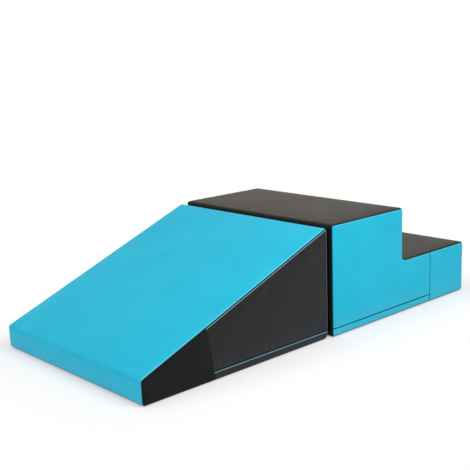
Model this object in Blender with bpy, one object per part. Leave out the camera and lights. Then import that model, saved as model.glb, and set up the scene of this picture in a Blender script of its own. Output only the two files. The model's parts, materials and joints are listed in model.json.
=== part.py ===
"""Foam climbing set: a ramp wedge and a two-step block, each a laminated foam core in a zipped cover.

Lengths are in metres, +Z is up, and +X runs from the ramp's toe to the end of the low step. The origin
lies on the floor, under the middle of the set. Each block is modelled in its own frame, which starts at
the face that meets the other block: x leads away from that face, y runs across the block from its
middle, and z is the height.
"""

import math
from collections import namedtuple

import bmesh
import bpy
from mathutils import Vector

MM = 0.001

# Driving sizes of the two blocks
BLOCK_WIDTH = 480 * MM
WEDGE_LENGTH = 504 * MM
WEDGE_HEIGHT = 248 * MM
TOE_HEIGHT = 52 * MM
STEP_LENGTH = 501 * MM
STEP_HEIGHT = 251 * MM
TOP_TREAD_DEPTH = 251 * MM
LOW_TREAD_HEIGHT = 127 * MM
STEP_SIDE_SHIFT = 6 * MM  # the step block stands this much nearer the viewer

# Vinyl cover
COVER_THICKNESS = 1 * MM
FIT_GAP = 0.3 * MM  # between pieces that touch
EDGE_RADIUS = 6 * MM  # rounding of the blocks' sewn edges
CORNER_SHARE = 1.25  # of the edge radius, from a corner: unlike rolls blend there and the foam is cut back
TOE_FOLD_SHARE = 1.35  # of the edge radius: the ramp panel folds over the toe with no seam
NOTCH_FOLD_RADIUS = 10 * MM  # the riser panel sweeps into the low tread with no seam
SEAM_RADIUS = 2.5 * MM  # roll of two panels into a seam that lies in a flat side
HEM_RADIUS = 1.4 * MM  # roll of a folded edge over the zip
CROWN = 2 * MM  # swell of a panel's middle
CROWN_INSET = 38 * MM  # from a panel's edge to the full swell
SEAM_TURN = math.radians(50)
HEM_TURN = math.radians(60)
ROLL_STEPS = 5
FOLD_STEPS = 8
CROWN_STEPS = 4

# Seams across the sides, from the meeting face
WEDGE_SEAM_FOOT = 329 * MM
WEDGE_SEAM_LEAN = math.radians(9.8)
STEP_SEAM = 357 * MM

# Hidden zip, which runs round the sides and the meeting face of each block
ZIP_HEIGHT = 20 * MM
ZIP_GROOVE = 1.6 * MM  # between the folded edges that hide it
ZIP_END_MARGIN = 6 * MM  # from the side seam to the zip's end
TAPE_WIDTH = 13 * MM
TAPE_THICKNESS = 0.5 * MM
TAPE_EDGE = 0.4 * MM  # the tape's folded edge that carries the coil
NECK_THICKNESS = 0.5 * MM  # the slider's neck, between the two rows of coil
COIL_DEPTH = 2 * MM
COIL_WIDTH = 2.25 * MM
SLIDER_WALL = 0.6 * MM
SLIDER_LENGTH = 9 * MM
STOP_LENGTH = 2 * MM
BAIL_THICKNESS = 1.2 * MM
BAIL_LENGTH = 5 * MM
PULL_PIVOT_HEIGHT = 1.9 * MM  # the pull's axis, proud of the cover
PULL_PIN_RADIUS = 0.5 * MM
PULL_HEEL = 1.5 * MM
PULL_LENGTH = 24 * MM
PULL_WIDTH = 7 * MM
PULL_THICKNESS = 1.2 * MM

# Foam core, laminated from boards
BOARDS = 6

# Hook-and-loop strips on the meeting faces
STRIP_LENGTH = 380 * MM
STRIP_WIDTH = 50 * MM
LOW_STRIP_HEIGHT = 72 * MM  # middle of the lower pair, above the floor
HIGH_STRIP_DROP = 62 * MM  # middle of the upper pair, below the wedge's top edge
LOOP_THICKNESS = 3 * MM
HOOK_THICKNESS = 2.1 * MM
STRIP_CORNER = 6 * MM
STRIP_BEVEL = 0.4 * MM

# Places that follow from the sizes
HALF_WIDTH = BLOCK_WIDTH / 2
JOIN_GAP = LOOP_THICKNESS + HOOK_THICKNESS + 3 * FIT_GAP
SET_LENGTH = WEDGE_LENGTH + JOIN_GAP + STEP_LENGTH
WEDGE_FACE_X = WEDGE_LENGTH - SET_LENGTH / 2
STEP_FACE_X = WEDGE_FACE_X + JOIN_GAP
SET_MIDDLE_Y = STEP_SIDE_SHIFT / 2
RAMP_ANGLE = math.atan2(WEDGE_HEIGHT - TOE_HEIGHT, WEDGE_LENGTH)

CORNER_LENGTH = EDGE_RADIUS * CORNER_SHARE
TOE_FOLD_RADIUS = EDGE_RADIUS * TOE_FOLD_SHARE
RIGHT_ANGLE = math.pi / 2
SQUARE_CORNER = RIGHT_ANGLE / 2

# Depths below the cover's outer face, from the outside in
FACE_FOAM_DEPTH = COVER_THICKNESS + FIT_GAP
CORNER_DEPTH = EDGE_RADIUS - (EDGE_RADIUS - COVER_THICKNESS) * math.cos(SQUARE_CORNER)
SEAM_INNER_DEPTH = SEAM_RADIUS - (SEAM_RADIUS - COVER_THICKNESS) * math.cos(SEAM_TURN)
SIDE_FOAM_DEPTH = SEAM_INNER_DEPTH + FIT_GAP
TAPE_DEPTH = HEM_RADIUS - (HEM_RADIUS - COVER_THICKNESS) * math.cos(HEM_TURN) + FIT_GAP
TAPE_BACK = TAPE_DEPTH + TAPE_THICKNESS
LIP_DEPTH = TAPE_BACK + FIT_GAP
LIP_BACK = LIP_DEPTH + SLIDER_WALL
COIL_FRONT = LIP_BACK + FIT_GAP
COIL_BACK = COIL_FRONT + COIL_DEPTH
PLATE_DEPTH = COIL_BACK + FIT_GAP
PLATE_BACK = PLATE_DEPTH + SLIDER_WALL

# Half heights of the zip's parts about its centre line
SLIT_HALF = NECK_THICKNESS / 2 + FIT_GAP
TAPE_EDGE_HALF = SLIT_HALF + TAPE_EDGE
COIL_HALF = SLIT_HALF + COIL_WIDTH
CHEEK_INNER_HALF = COIL_HALF + FIT_GAP
CHEEK_OUTER_HALF = CHEEK_INNER_HALF + SLIDER_WALL

BEND_TANGENT = math.tan(SQUARE_CORNER / 2)  # of half the turn where the zip bends round a block's edge
WIRE_SIDES = 16
MERGE_DISTANCE = FIT_GAP / 100
PARALLEL_SINE = 1e-4  # sides that turn less than this carry straight on
SHARP_ANGLE = math.radians(35)

# How a panel's edge rolls inwards: its setback from the outline, the roll's radius and how far it turns
Roll = namedtuple("Roll", "setback radius turn")


def corner_roll(half_angle=SQUARE_CORNER):
    """The roll into a seam along a block's edge, whose faces meet at twice half_angle.

    Its radius takes the free edge as deep as at a square corner, so that three panels can meet at a point.
    """
    turn = RIGHT_ANGLE - half_angle
    radius = (CORNER_DEPTH - COVER_THICKNESS * math.cos(turn)) / (1 - math.cos(turn))
    middle = radius / math.tan(half_angle) - radius * math.sin(turn)
    return Roll(middle + FIT_GAP / 2 / math.sin(half_angle), radius, turn)


CORNER = corner_roll()
RIDGE = corner_roll((RIGHT_ANGLE - RAMP_ANGLE) / 2)
FLAT_SEAM = Roll(FIT_GAP / 2, SEAM_RADIUS, SEAM_TURN)
HEM = Roll(ZIP_GROOVE / 2, HEM_RADIUS, HEM_TURN)


def roll_rings(roll, inside):
    """Pairs of (inset from the outline, depth below the face) round a roll, from its free edge on."""
    radius = roll.radius - (COVER_THICKNESS if inside else 0)
    rings = []
    for step in range(ROLL_STEPS + 1):
        turn = roll.turn * (1 - step / ROLL_STEPS)
        inset = roll.setback + roll.radius * math.sin(roll.turn) - radius * math.sin(turn)
        rings.append((inset, roll.radius - radius * math.cos(turn)))
    return rings


def crown_rings(start, swell):
    """Pairs of (inset, swell so far) from where a roll ends, at inset start, to the full swell."""
    rings = []
    for step in range(1, CROWN_STEPS + 1):
        share = step / CROWN_STEPS
        rings.append((start + (CROWN_INSET - start) * share, swell * share * share * (3 - 2 * share)))
    return rings


def inset_outline(outline, insets):
    """Moves each side of an anticlockwise outline inwards by its own distance, and returns the corners."""
    count = len(outline)
    lines = []
    for number in range(count):
        start = Vector(outline[number])
        along = (Vector(outline[(number + 1) % count]) - start).normalized()
        inward = Vector((-along.y, along.x))
        lines.append((start + inward * insets[number], along))
    corners = []
    for number in range(count):
        (start, along), (other, other_along) = lines[number - 1], lines[number]
        turn = along.cross(other_along)
        if abs(turn) < PARALLEL_SINE:
            corners.append(other)
        else:
            corners.append(start + along * ((other - start).cross(other_along) / turn))
    return corners


def srgb(code):
    """A hex colour as the linear values that a material takes."""
    values = [int(code[place:place + 2], 16) / 255 for place in (0, 2, 4)]
    return [v / 12.92 if v <= 0.04045 else ((v + 0.055) / 1.055) ** 2.4 for v in values]


def make_material(name, code, roughness, metallic):
    """A plain shader with a colour, a roughness and a metallic value."""
    material = bpy.data.materials.new(name)
    material.use_nodes = True
    shader = material.node_tree.nodes["Principled BSDF"]
    shader.inputs["Base Color"].default_value = (*srgb(code), 1)
    shader.inputs["Roughness"].default_value = roughness
    shader.inputs["Metallic"].default_value = metallic
    material.diffuse_color = (*srgb(code), 1)
    return material


def add_piece(name, form, material, carrier, place=(0, 0, 0)):
    """Turns a finished bmesh into a named object at a place in its carrier's frame."""
    bmesh.ops.recalc_face_normals(form, faces=form.faces)
    mesh = bpy.data.meshes.new(name)
    form.to_mesh(mesh)
    form.free()
    mesh.shade_smooth()
    mesh.set_sharp_from_angle(angle=SHARP_ANGLE)
    mesh.materials.append(material)
    piece = bpy.data.objects.new(name, mesh)
    bpy.context.scene.collection.objects.link(piece)
    piece.parent = carrier
    piece.location = place
    return piece


def add_block(name, face_x, middle_y, turn):
    """The frame of a block: an empty at its meeting face, on the floor."""
    block = bpy.data.objects.new(name, None)
    bpy.context.scene.collection.objects.link(block)
    block.location = (face_x, middle_y, 0)
    block.rotation_euler = (0, 0, turn)
    return block


def skin_loops(form, loops):
    """Joins closed loops of points into a tube and caps both of its ends."""
    rows = [[form.verts.new(point) for point in loop] for loop in loops]
    for row, following in zip(rows, rows[1:]):
        for number in range(len(row)):
            after = (number + 1) % len(row)
            form.faces.new((row[number], row[after], following[after], following[number]))
    form.faces.new(rows[0][::-1])
    form.faces.new(rows[-1])


def eased(outline, rolls):
    """Adds a point near each end of a side that meets another roll, so the two blend only near the corner.

    Returns the points, the roll of the side that starts at each, and the number of the corner it is near.
    """
    points, point_rolls, near = [], [], []
    count = len(outline)
    for number in range(count):
        following = (number + 1) % count
        start, end = Vector(outline[number]), Vector(outline[following])
        along = (end - start).normalized() * CORNER_LENGTH
        side = [(start, number)]
        if rolls[number] != rolls[number - 1]:
            side.append((start + along, number))
        if rolls[number] != rolls[following]:
            side.append((end - along, following))
        points += [point for point, _ in side]
        near += [corner for _, corner in side]
        point_rolls += [rolls[number]] * len(side)
    return points, point_rolls, near


def flat_panel(outline, rolls, place, swell=CROWN):
    """A cover panel cut to an outline. Its edges roll inwards, each by its own roll, and its middle swells.

    place turns (across, up, depth below the outer face) into a point of the block.
    """
    points, point_rolls, near = eased(outline, rolls)
    starts = [roll_rings(roll, False)[-1][0] for roll in rolls]
    loops = []
    for inside in (False, True):
        rings = [roll_rings(roll, inside) for roll in point_rolls]
        lift = COVER_THICKNESS if inside else 0
        side = []
        for step in range(ROLL_STEPS + 1):
            corners = inset_outline(points, [ring[step][0] for ring in rings])
            depths = [max(rings[n - 1][step][1], rings[n][step][1]) for n in range(len(points))]
            side.append([place(c.x, c.y, d) for c, d in zip(corners, depths)])
        crowns = [crown_rings(start, swell) for start in starts] if swell else [[]]
        for ring in zip(*crowns):
            corners = inset_outline(outline, [inset for inset, _ in ring])
            side.append([place(corners[n].x, corners[n].y, lift - ring[n][1]) for n in near])
        loops.append(side)
    form = bmesh.new()
    skin_loops(form, loops[0][::-1] + loops[1])
    bmesh.ops.remove_doubles(form, verts=form.verts, dist=MERGE_DISTANCE)
    return form


def arc(centre, radius, start, end, steps):
    """Points of an arc in a block's x and z, with the directions that they face."""
    points = []
    for step in range(steps + 1):
        angle = start + (end - start) * step / steps
        facing = Vector((math.cos(angle), math.sin(angle)))
        points.append((Vector(centre) + facing * radius, facing))
    return points


def bent_panel(path, swell=CROWN):
    """A cover panel that runs the block's full width along a path of stations in x and z."""
    across = []
    for inside in (False, True):
        edge = [(HALF_WIDTH - inset, depth) for inset, depth in roll_rings(CORNER, inside)]
        if swell:
            lift = COVER_THICKNESS if inside else 0
            crown = crown_rings(HALF_WIDTH - edge[-1][0], swell)
            edge += [(HALF_WIDTH - inset, lift - rise) for inset, rise in crown]
        across.append(edge + [(-y, depth) for y, depth in reversed(edge)])
    loops = []
    for station in path:
        loop = []
        for inside, (point, facing, least) in enumerate(station):
            places = [(point - facing * max(least, depth), y) for y, depth in across[inside]]
            row = [Vector((place.x, y, place.y)) for place, y in places]
            loop += row[::-1] if inside else row
        loops.append(loop)
    form = bmesh.new()
    skin_loops(form, loops)
    return form


def plain_station(point, facing, swell=CROWN):
    """A station along a bent panel: (point on the face, way it faces, least depth), outside and inside."""
    return [(Vector(point), facing, -swell), (Vector(point), facing, COVER_THICKNESS - swell)]


def rolled_end(corner, facing, along, roll):
    """Stations that roll a panel's end inwards at a block's edge. along points past the corner."""
    rings = zip(roll_rings(roll, False), roll_rings(roll, True))
    return [[(corner - along * inset, facing, depth) for inset, depth in pair] for pair in rings]


def ramp_height(x):
    return WEDGE_HEIGHT - math.tan(RAMP_ANGLE) * x


def toe_fold():
    """The arc where the ramp panel folds over the toe, from the toe's face to the ramp."""
    reach = TOE_FOLD_RADIUS * math.tan((RIGHT_ANGLE - RAMP_ANGLE) / 2)
    centre = (WEDGE_LENGTH - TOE_FOLD_RADIUS, TOE_HEIGHT - reach)
    return arc(centre, TOE_FOLD_RADIUS, 0, RIGHT_ANGLE - RAMP_ANGLE, FOLD_STEPS)


def notch_fold():
    """The hollow arc where the riser panel sweeps into the low tread, from the riser down."""
    centre = (TOP_TREAD_DEPTH + NOTCH_FOLD_RADIUS, LOW_TREAD_HEIGHT + NOTCH_FOLD_RADIUS)
    return arc(centre, NOTCH_FOLD_RADIUS, math.pi, math.pi + RIGHT_ANGLE, FOLD_STEPS)


def ramp_path():
    """The ramp panel's path, from the foot of the toe, over the fold and up to the ridge."""
    out, up = Vector((1, 0)), Vector((0, 1))
    slope = Vector((-math.cos(RAMP_ANGLE), math.sin(RAMP_ANGLE)))
    facing = Vector((math.sin(RAMP_ANGLE), math.cos(RAMP_ANGLE)))
    foot = rolled_end(Vector((WEDGE_LENGTH, 0)), out, -up, CORNER)
    top = Vector((0, WEDGE_HEIGHT))
    ridge = rolled_end(top, facing, slope, RIDGE)
    for inset, swell in crown_rings(roll_rings(RIDGE, False)[-1][0], CROWN):
        ridge.append(plain_station(top - slope * inset, facing, swell))
    return foot + [plain_station(*turn) for turn in toe_fold()] + ridge[::-1]


def tread_path():
    """The riser panel's path, from the top tread's edge, round the notch and out along the low tread."""
    out, up = Vector((1, 0)), Vector((0, 1))
    top = rolled_end(Vector((TOP_TREAD_DEPTH, STEP_HEIGHT)), out, up, CORNER)
    end = rolled_end(Vector((STEP_LENGTH, LOW_TREAD_HEIGHT)), up, out, CORNER)
    return top + [plain_station(point, -facing) for point, facing in notch_fold()] + end[::-1]


def side_place(side):
    """Places a side panel's (x, z, depth) on the side of the block where y has this sign."""
    return lambda x, z, depth: Vector((x, side * (HALF_WIDTH - depth), z))


def face_place(x, direction):
    """Places a cross panel's (y, z, depth) on a face at x that looks along direction."""
    return lambda y, z, depth: Vector((x - direction * depth, y, z))


def level_place(z, direction):
    """Places a level panel's (x, y, depth) at a height, looking up or down."""
    return lambda x, y, depth: Vector((x, y, z - direction * depth))


def box_outline(low_x, low_y, high_x, high_y):
    return [(low_x, low_y), (high_x, low_y), (high_x, high_y), (low_x, high_y)]


def clipped(outline, height, keep):
    """The part of a convex outline above a height, where keep is 1, or below it, where keep is -1."""
    kept = []
    for number, (x, z) in enumerate(outline):
        last_x, last_z = outline[number - 1]
        inside = (z - height) * keep > 0
        if inside != ((last_z - height) * keep > 0):
            share = (height - last_z) / (z - last_z)
            kept.append((last_x + (x - last_x) * share, height))
        if inside:
            kept.append((x, z))
    return kept


def board_form(outline, glued_levels):
    """A foam board: its outline carried across the block, cut back along the edges where the cover rolls.

    The sides of the outline at the glued levels lie against another board and stay square.
    """
    trim = CORNER_LENGTH - FACE_FOAM_DEPTH
    insets = []
    for number, (_, z) in enumerate(outline):
        next_z = outline[(number + 1) % len(outline)][1]
        glued = any(max(abs(z - level), abs(next_z - level)) < MERGE_DISTANCE for level in glued_levels)
        insets.append(0 if glued else trim)
    outer = [(HALF_WIDTH - SIDE_FOAM_DEPTH, inset_outline(outline, insets))]
    inner = [(HALF_WIDTH - CORNER_LENGTH, inset_outline(outline, [0] * len(outline)))]
    loops = []
    for side, stations in ((-1, outer + inner), (1, inner + outer)):
        loops += [[Vector((c.x, side * y, c.y)) for c in corners] for y, corners in stations]
    form = bmesh.new()
    skin_loops(form, loops)
    return form


def trimmed_outline(corners):
    """Cuts corners off an outline. Each corner is (point, how far back along both sides it is cut)."""
    points = []
    for number, (point, cut) in enumerate(corners):
        here = Vector(point)
        if not cut:
            points.append(tuple(here))
            continue
        for other in (corners[number - 1][0], corners[(number + 1) % len(corners)][0]):
            points.append(tuple(here + (Vector(other) - here).normalized() * cut))
    return points


def wedge_core():
    """The wedge core's outline in x and z, anticlockwise, inside the cover."""
    depth = FACE_FOAM_DEPTH
    ramp_drop = depth / math.cos(RAMP_ANGLE)
    square = EDGE_RADIUS - depth
    ridge_cut = (EDGE_RADIUS - depth) / math.tan((RIGHT_ANGLE - RAMP_ANGLE) / 2)
    fold_cut = (TOE_FOLD_RADIUS - depth) * math.tan((RIGHT_ANGLE - RAMP_ANGLE) / 2)
    end = WEDGE_LENGTH - depth
    return trimmed_outline([
        ((depth, depth), square),
        ((end, depth), square),
        ((end, ramp_height(end) - ramp_drop), fold_cut),
        ((depth, ramp_height(depth) - ramp_drop), ridge_cut),
    ])


def step_cores():
    """Outlines of the lower and the upper half of the step block's core, anticlockwise."""
    depth = FACE_FOAM_DEPTH
    square = EDGE_RADIUS - depth
    end, back = STEP_LENGTH - depth, TOP_TREAD_DEPTH - depth
    shelf, top = LOW_TREAD_HEIGHT - depth, STEP_HEIGHT - depth
    seat = shelf + FIT_GAP
    lower = [((depth, depth), square), ((end, depth), square), ((end, shelf), square), ((depth, shelf), 0)]
    upper = [((depth, seat), 0), ((back, seat), 0), ((back, top), square), ((depth, top), square)]
    return trimmed_outline(lower), trimmed_outline(upper)


def board_stack(name, outline, numbers, material, block, channel=None):
    """Slices a core's outline into boards of equal thickness, with a glue line of FIT_GAP between them.

    numbers are the boards' numbers, from the lowest up; any but board 1 is glued to the board below it.
    channel is what the lowest board is cut by.
    """
    low = min(z for _, z in outline)
    high = max(z for _, z in outline)
    pitch = (high - low + FIT_GAP) / len(numbers)
    for place, number in enumerate(numbers):
        foot = low + pitch * place
        head = foot + pitch - FIT_GAP
        part, glued_levels = outline, []
        if number > 1:
            glued_levels.append(foot)
        if place > 0:
            part = clipped(part, foot, 1)
        if place < len(numbers) - 1:
            part = clipped(part, head, -1)
            glued_levels.append(head)
        board = add_piece(f"{name}_foam_board_{number}", board_form(part, glued_levels), material, block)
        if channel and place == 0:
            add_boolean(board, f"{name}_zip_channel", channel, "DIFFERENCE")


def zip_sweep(section, end_x):
    """Carries a section of (depth, height) round three sides of a block: side, meeting face, side."""
    loops = []
    for station in range(6):
        loop = []
        for depth, z in section:
            cut = CORNER_LENGTH + (depth - TAPE_DEPTH) * BEND_TANGENT
            x, y = [(end_x, depth), (cut, depth), (depth, cut)][min(station, 5 - station)]
            side = -1 if station < 3 else 1
            loop.append(Vector((x, side * (HALF_WIDTH - y), z)))
        loops.append(loop)
    form = bmesh.new()
    skin_loops(form, loops)
    return form


def about_zip(section, sign=1):
    """Puts a section of (depth, height above the zip's centre line) at the zip's height."""
    return [(depth, ZIP_HEIGHT + sign * z) for depth, z in section]


def zip_channel(end_x):
    """The channel that the zip and its slider press into the lowest board."""
    overrun = SIDE_FOAM_DEPTH
    tape_half = SLIT_HALF + TAPE_WIDTH + FIT_GAP
    slider_half = CHEEK_OUTER_HALF + FIT_GAP
    outside, shallow, deep = -overrun, TAPE_BACK + FIT_GAP, PLATE_BACK + FIT_GAP
    section = [
        (outside, -tape_half), (shallow, -tape_half), (shallow, -slider_half), (deep, -slider_half),
        (deep, slider_half), (shallow, slider_half), (shallow, tape_half), (outside, tape_half),
    ]
    return zip_sweep(about_zip(section), end_x + ZIP_END_MARGIN / 2)


def add_zip(name, end_x, slider_side, finish, block):
    """The zip's tapes, coil rows, stops, slider and pull. The slider is parked at one end of the zip."""
    tape_edge = SLIT_HALF + TAPE_WIDTH
    tape = [
        (TAPE_DEPTH, SLIT_HALF), (LIP_BACK, SLIT_HALF), (LIP_BACK, TAPE_EDGE_HALF),
        (TAPE_BACK, TAPE_EDGE_HALF), (TAPE_BACK, tape_edge), (TAPE_DEPTH, tape_edge),
    ]
    row = box_outline(COIL_FRONT, SLIT_HALF, COIL_BACK, COIL_HALF)
    row_end = end_x - STOP_LENGTH - FIT_GAP
    for label, sign in (("upper", 1), ("lower", -1)):
        tape_form = zip_sweep(about_zip(tape, sign), end_x)
        add_piece(f"{name}_zip_tape_{label}", tape_form, finish["zip_tape"], block)
        row_form = zip_sweep(about_zip(row, sign), row_end)
        add_piece(f"{name}_zip_coil_{label}", row_form, finish["zip_coil"], block)

    metal = finish["zip_metal"]
    section = box_outline(COIL_FRONT, -COIL_HALF, COIL_BACK, COIL_HALF)
    stop_x = end_x - STOP_LENGTH / 2
    for label, side in (("parked", slider_side), ("other", -slider_side)):
        stop = extruded(section, STOP_LENGTH, side)
        add_piece(f"{name}_zip_stop_{label}_end", stop, metal, block, zip_place(stop_x, side))
    slider_place = zip_place(row_end - FIT_GAP - SLIDER_LENGTH / 2, slider_side)
    slider = add_slider(f"{name}_zip_slider", slider_side, metal, block, slider_place)
    add_pull(f"{name}_zip_pull", slider_side, metal, slider)


def zip_place(x, side):
    """A place on the zip's centre line, in the plane of the block's side."""
    return (x, side * HALF_WIDTH, ZIP_HEIGHT)


def extruded(section, length, side):
    """Carries a section of (depth, height from the zip's line) straight along x, about the zip's line."""
    form = bmesh.new()
    skin_loops(form, [
        [Vector((x, -side * depth, z)) for depth, z in section] for x in (-length / 2, length / 2)
    ])
    return form


def add_slider(name, side, metal, block, place):
    """The slider: a channel round both rows of coil, whose neck comes out between the folded edges."""
    neck, lip = NECK_THICKNESS / 2, TAPE_EDGE_HALF + FIT_GAP
    half = [
        (PLATE_BACK, CHEEK_OUTER_HALF), (LIP_DEPTH, CHEEK_OUTER_HALF), (LIP_DEPTH, lip), (LIP_BACK, lip),
        (LIP_BACK, CHEEK_INNER_HALF), (PLATE_DEPTH, CHEEK_INNER_HALF), (PLATE_DEPTH, neck), (0, neck),
    ]
    section = half + [(depth, -z) for depth, z in reversed(half)]
    slider = add_piece(name, extruded(section, SLIDER_LENGTH, side), metal, block, place)
    eye = pin_form(PULL_PIN_RADIUS + FIT_GAP, BAIL_THICKNESS)
    add_boolean(slider, f"{name}_bail", bail_form(side), "UNION")
    add_boolean(slider, f"{name}_eye", eye, "DIFFERENCE", (0, side * PULL_PIVOT_HEIGHT, 0))
    return slider


def bail_form(side):
    """The bail: a thicker fin with a rounded head, which stands on the neck outside the cover."""
    head = PULL_PIN_RADIUS + FIT_GAP + SLIDER_WALL
    outline = [(-BAIL_LENGTH / 2, FIT_GAP), (BAIL_LENGTH / 2, FIT_GAP)]
    for step in range(WIRE_SIDES // 2 + 1):
        angle = math.pi * step / (WIRE_SIDES // 2)
        outline.append((head * math.cos(angle), -PULL_PIVOT_HEIGHT - head * math.sin(angle)))
    half = BAIL_THICKNESS / 2
    form = bmesh.new()
    skin_loops(form, [[Vector((x, -side * depth, z)) for x, depth in outline] for z in (-half, half)])
    return form


def pin_form(radius, half_length):
    """A round pin along z, about the origin."""
    form = bmesh.new()
    bmesh.ops.create_cone(
        form, cap_ends=True, segments=WIRE_SIDES, radius1=radius, radius2=radius, depth=2 * half_length,
    )
    return form


def add_boolean(piece, name, form, operation, place=(0, 0, 0)):
    """Joins a shape to a piece, or cuts it away; the shape itself isn't part of the model."""
    helper = add_piece(name, form, None, piece, place)
    helper.hide_render = True
    helper.display_type = "WIRE"
    boolean = piece.modifiers.new(name, "BOOLEAN")
    boolean.operation = operation
    boolean.object = helper


def add_pull(name, side, metal, slider):
    """The pull tab. It lies flat over the closed zip and turns on a pin through the slider's bail."""
    slot_half = BAIL_THICKNESS / 2 + FIT_GAP
    slot_end = -BAIL_LENGTH / 2 - PULL_PIN_RADIUS - SLIDER_WALL - 2 * FIT_GAP
    half = PULL_WIDTH / 2
    taper = -PULL_LENGTH + half
    outline = [
        (PULL_HEEL, slot_half), (PULL_HEEL, half), (taper, half), (-PULL_LENGTH, half / 2),
        (-PULL_LENGTH, -half / 2), (taper, -half), (PULL_HEEL, -half), (PULL_HEEL, -slot_half),
        (slot_end, -slot_half), (slot_end, slot_half),
    ]
    form = bmesh.new()
    faces_y = (-PULL_THICKNESS / 2, PULL_THICKNESS / 2)
    skin_loops(form, [[Vector((x, y, z)) for x, z in outline] for y in faces_y])
    pull = add_piece(name, form, metal, slider, (0, side * PULL_PIVOT_HEIGHT, 0))
    add_boolean(pull, f"{name}_pin", pin_form(PULL_PIN_RADIUS, (slot_half + half) / 2), "UNION")


def rounded_rectangle(half_length, half_width, radius):
    """Points of a rectangle with rounded corners, about the origin."""
    points = []
    for quarter, (side_y, side_z) in enumerate(((1, 1), (-1, 1), (-1, -1), (1, -1))):
        centre = (side_y * (half_length - radius), side_z * (half_width - radius))
        turn = RIGHT_ANGLE * quarter
        points += [point for point, _ in arc(centre, radius, turn, turn + RIGHT_ANGLE, FOLD_STEPS)]
    return points


def add_strips(name, thickness, material, block):
    """A lower and an upper strip of hooks or loops across the meeting face, with rounded corners."""
    back, rim, front = -FIT_GAP, STRIP_BEVEL - FIT_GAP - thickness, -FIT_GAP - thickness
    for label, height in (("lower", LOW_STRIP_HEIGHT), ("upper", WEDGE_HEIGHT - HIGH_STRIP_DROP)):
        loops = []
        for x, inset in ((back, 0), (rim, 0), (front, STRIP_BEVEL)):
            half_length, half_width = STRIP_LENGTH / 2 - inset, STRIP_WIDTH / 2 - inset
            outline = rounded_rectangle(half_length, half_width, STRIP_CORNER - inset)
            loops.append([Vector((x, point.x, height + point.y)) for point in outline])
        form = bmesh.new()
        skin_loops(form, loops)
        add_piece(f"{name}_{label}", form, material, block)


def add_meeting_panels(name, height, top_roll, material, block):
    """The meeting face's panel above the zip and its band below. Both are flat, to press together."""
    place = face_place(0, -1)
    upper = box_outline(-HALF_WIDTH, ZIP_HEIGHT, HALF_WIDTH, height)
    panel = flat_panel(upper, [HEM, CORNER, top_roll, CORNER], place, swell=0)
    add_piece(f"{name}_meeting_panel", panel, material, block)
    lower = box_outline(-HALF_WIDTH, 0, HALF_WIDTH, ZIP_HEIGHT)
    band = flat_panel(lower, [CORNER, CORNER, HEM, CORNER], place, swell=0)
    add_piece(f"{name}_meeting_band", band, material, block)


def add_base(name, length, material, block):
    outline = box_outline(0, -HALF_WIDTH, length, HALF_WIDTH)
    base = flat_panel(outline, [CORNER] * 4, level_place(0, -1), swell=0)
    add_piece(f"{name}_base_panel", base, material, block)


def add_wedge_sides(material, block):
    """The wedge's sides: a main panel, a band below the zip, and a toe panel past the leaning seam."""
    lean, slope = math.tan(WEDGE_SEAM_LEAN), math.tan(RAMP_ANGLE)
    seam_top_x = (WEDGE_SEAM_FOOT + lean * WEDGE_HEIGHT) / (1 + lean * slope)
    seam_top = (seam_top_x, ramp_height(seam_top_x))
    seam_at_zip = (WEDGE_SEAM_FOOT + lean * ZIP_HEIGHT, ZIP_HEIGHT)
    main = [(0, ZIP_HEIGHT), seam_at_zip, seam_top, (0, WEDGE_HEIGHT)]
    band = [(0, 0), (WEDGE_SEAM_FOOT, 0), seam_at_zip, (0, ZIP_HEIGHT)]
    fold = [tuple(point) for point, _ in toe_fold()]
    toe = [(WEDGE_SEAM_FOOT, 0), (WEDGE_LENGTH, 0), *fold, seam_top]
    toe_rolls = [CORNER] * (len(toe) - 1) + [FLAT_SEAM]
    for label, side in (("near", 1), ("far", -1)):
        place = side_place(side)
        for name, outline, rolls, swell in (
            ("main", main, [HEM, FLAT_SEAM, CORNER, CORNER], CROWN),
            ("band", band, [CORNER, FLAT_SEAM, HEM, CORNER], 0),
            ("toe", toe, toe_rolls, 0),
        ):
            panel = flat_panel(outline, rolls, place, swell)
            add_piece(f"wedge_side_{name}_{label}", panel, material, block)


def build_wedge(finish):
    """The wedge. Its frame is turned half way round, so its near side is the one at +y."""
    block = add_block("wedge_block", WEDGE_FACE_X, SET_MIDDLE_Y, math.pi)
    black, foam = finish["black_vinyl"], finish["white_foam"]
    zip_end = WEDGE_SEAM_FOOT - ZIP_END_MARGIN
    board_stack("wedge", wedge_core(), range(1, BOARDS + 1), foam, block, zip_channel(zip_end))
    add_piece("wedge_ramp_panel", bent_panel(ramp_path()), finish["turquoise_vinyl"], block)
    add_meeting_panels("wedge", WEDGE_HEIGHT, RIDGE, black, block)
    add_wedge_sides(black, block)
    add_base("wedge", WEDGE_LENGTH, finish["anti_slip_cloth"], block)
    add_zip("wedge", zip_end, -1, finish, block)
    add_strips("wedge_loop_strip", LOOP_THICKNESS, finish["loop_pile"], block)


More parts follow.
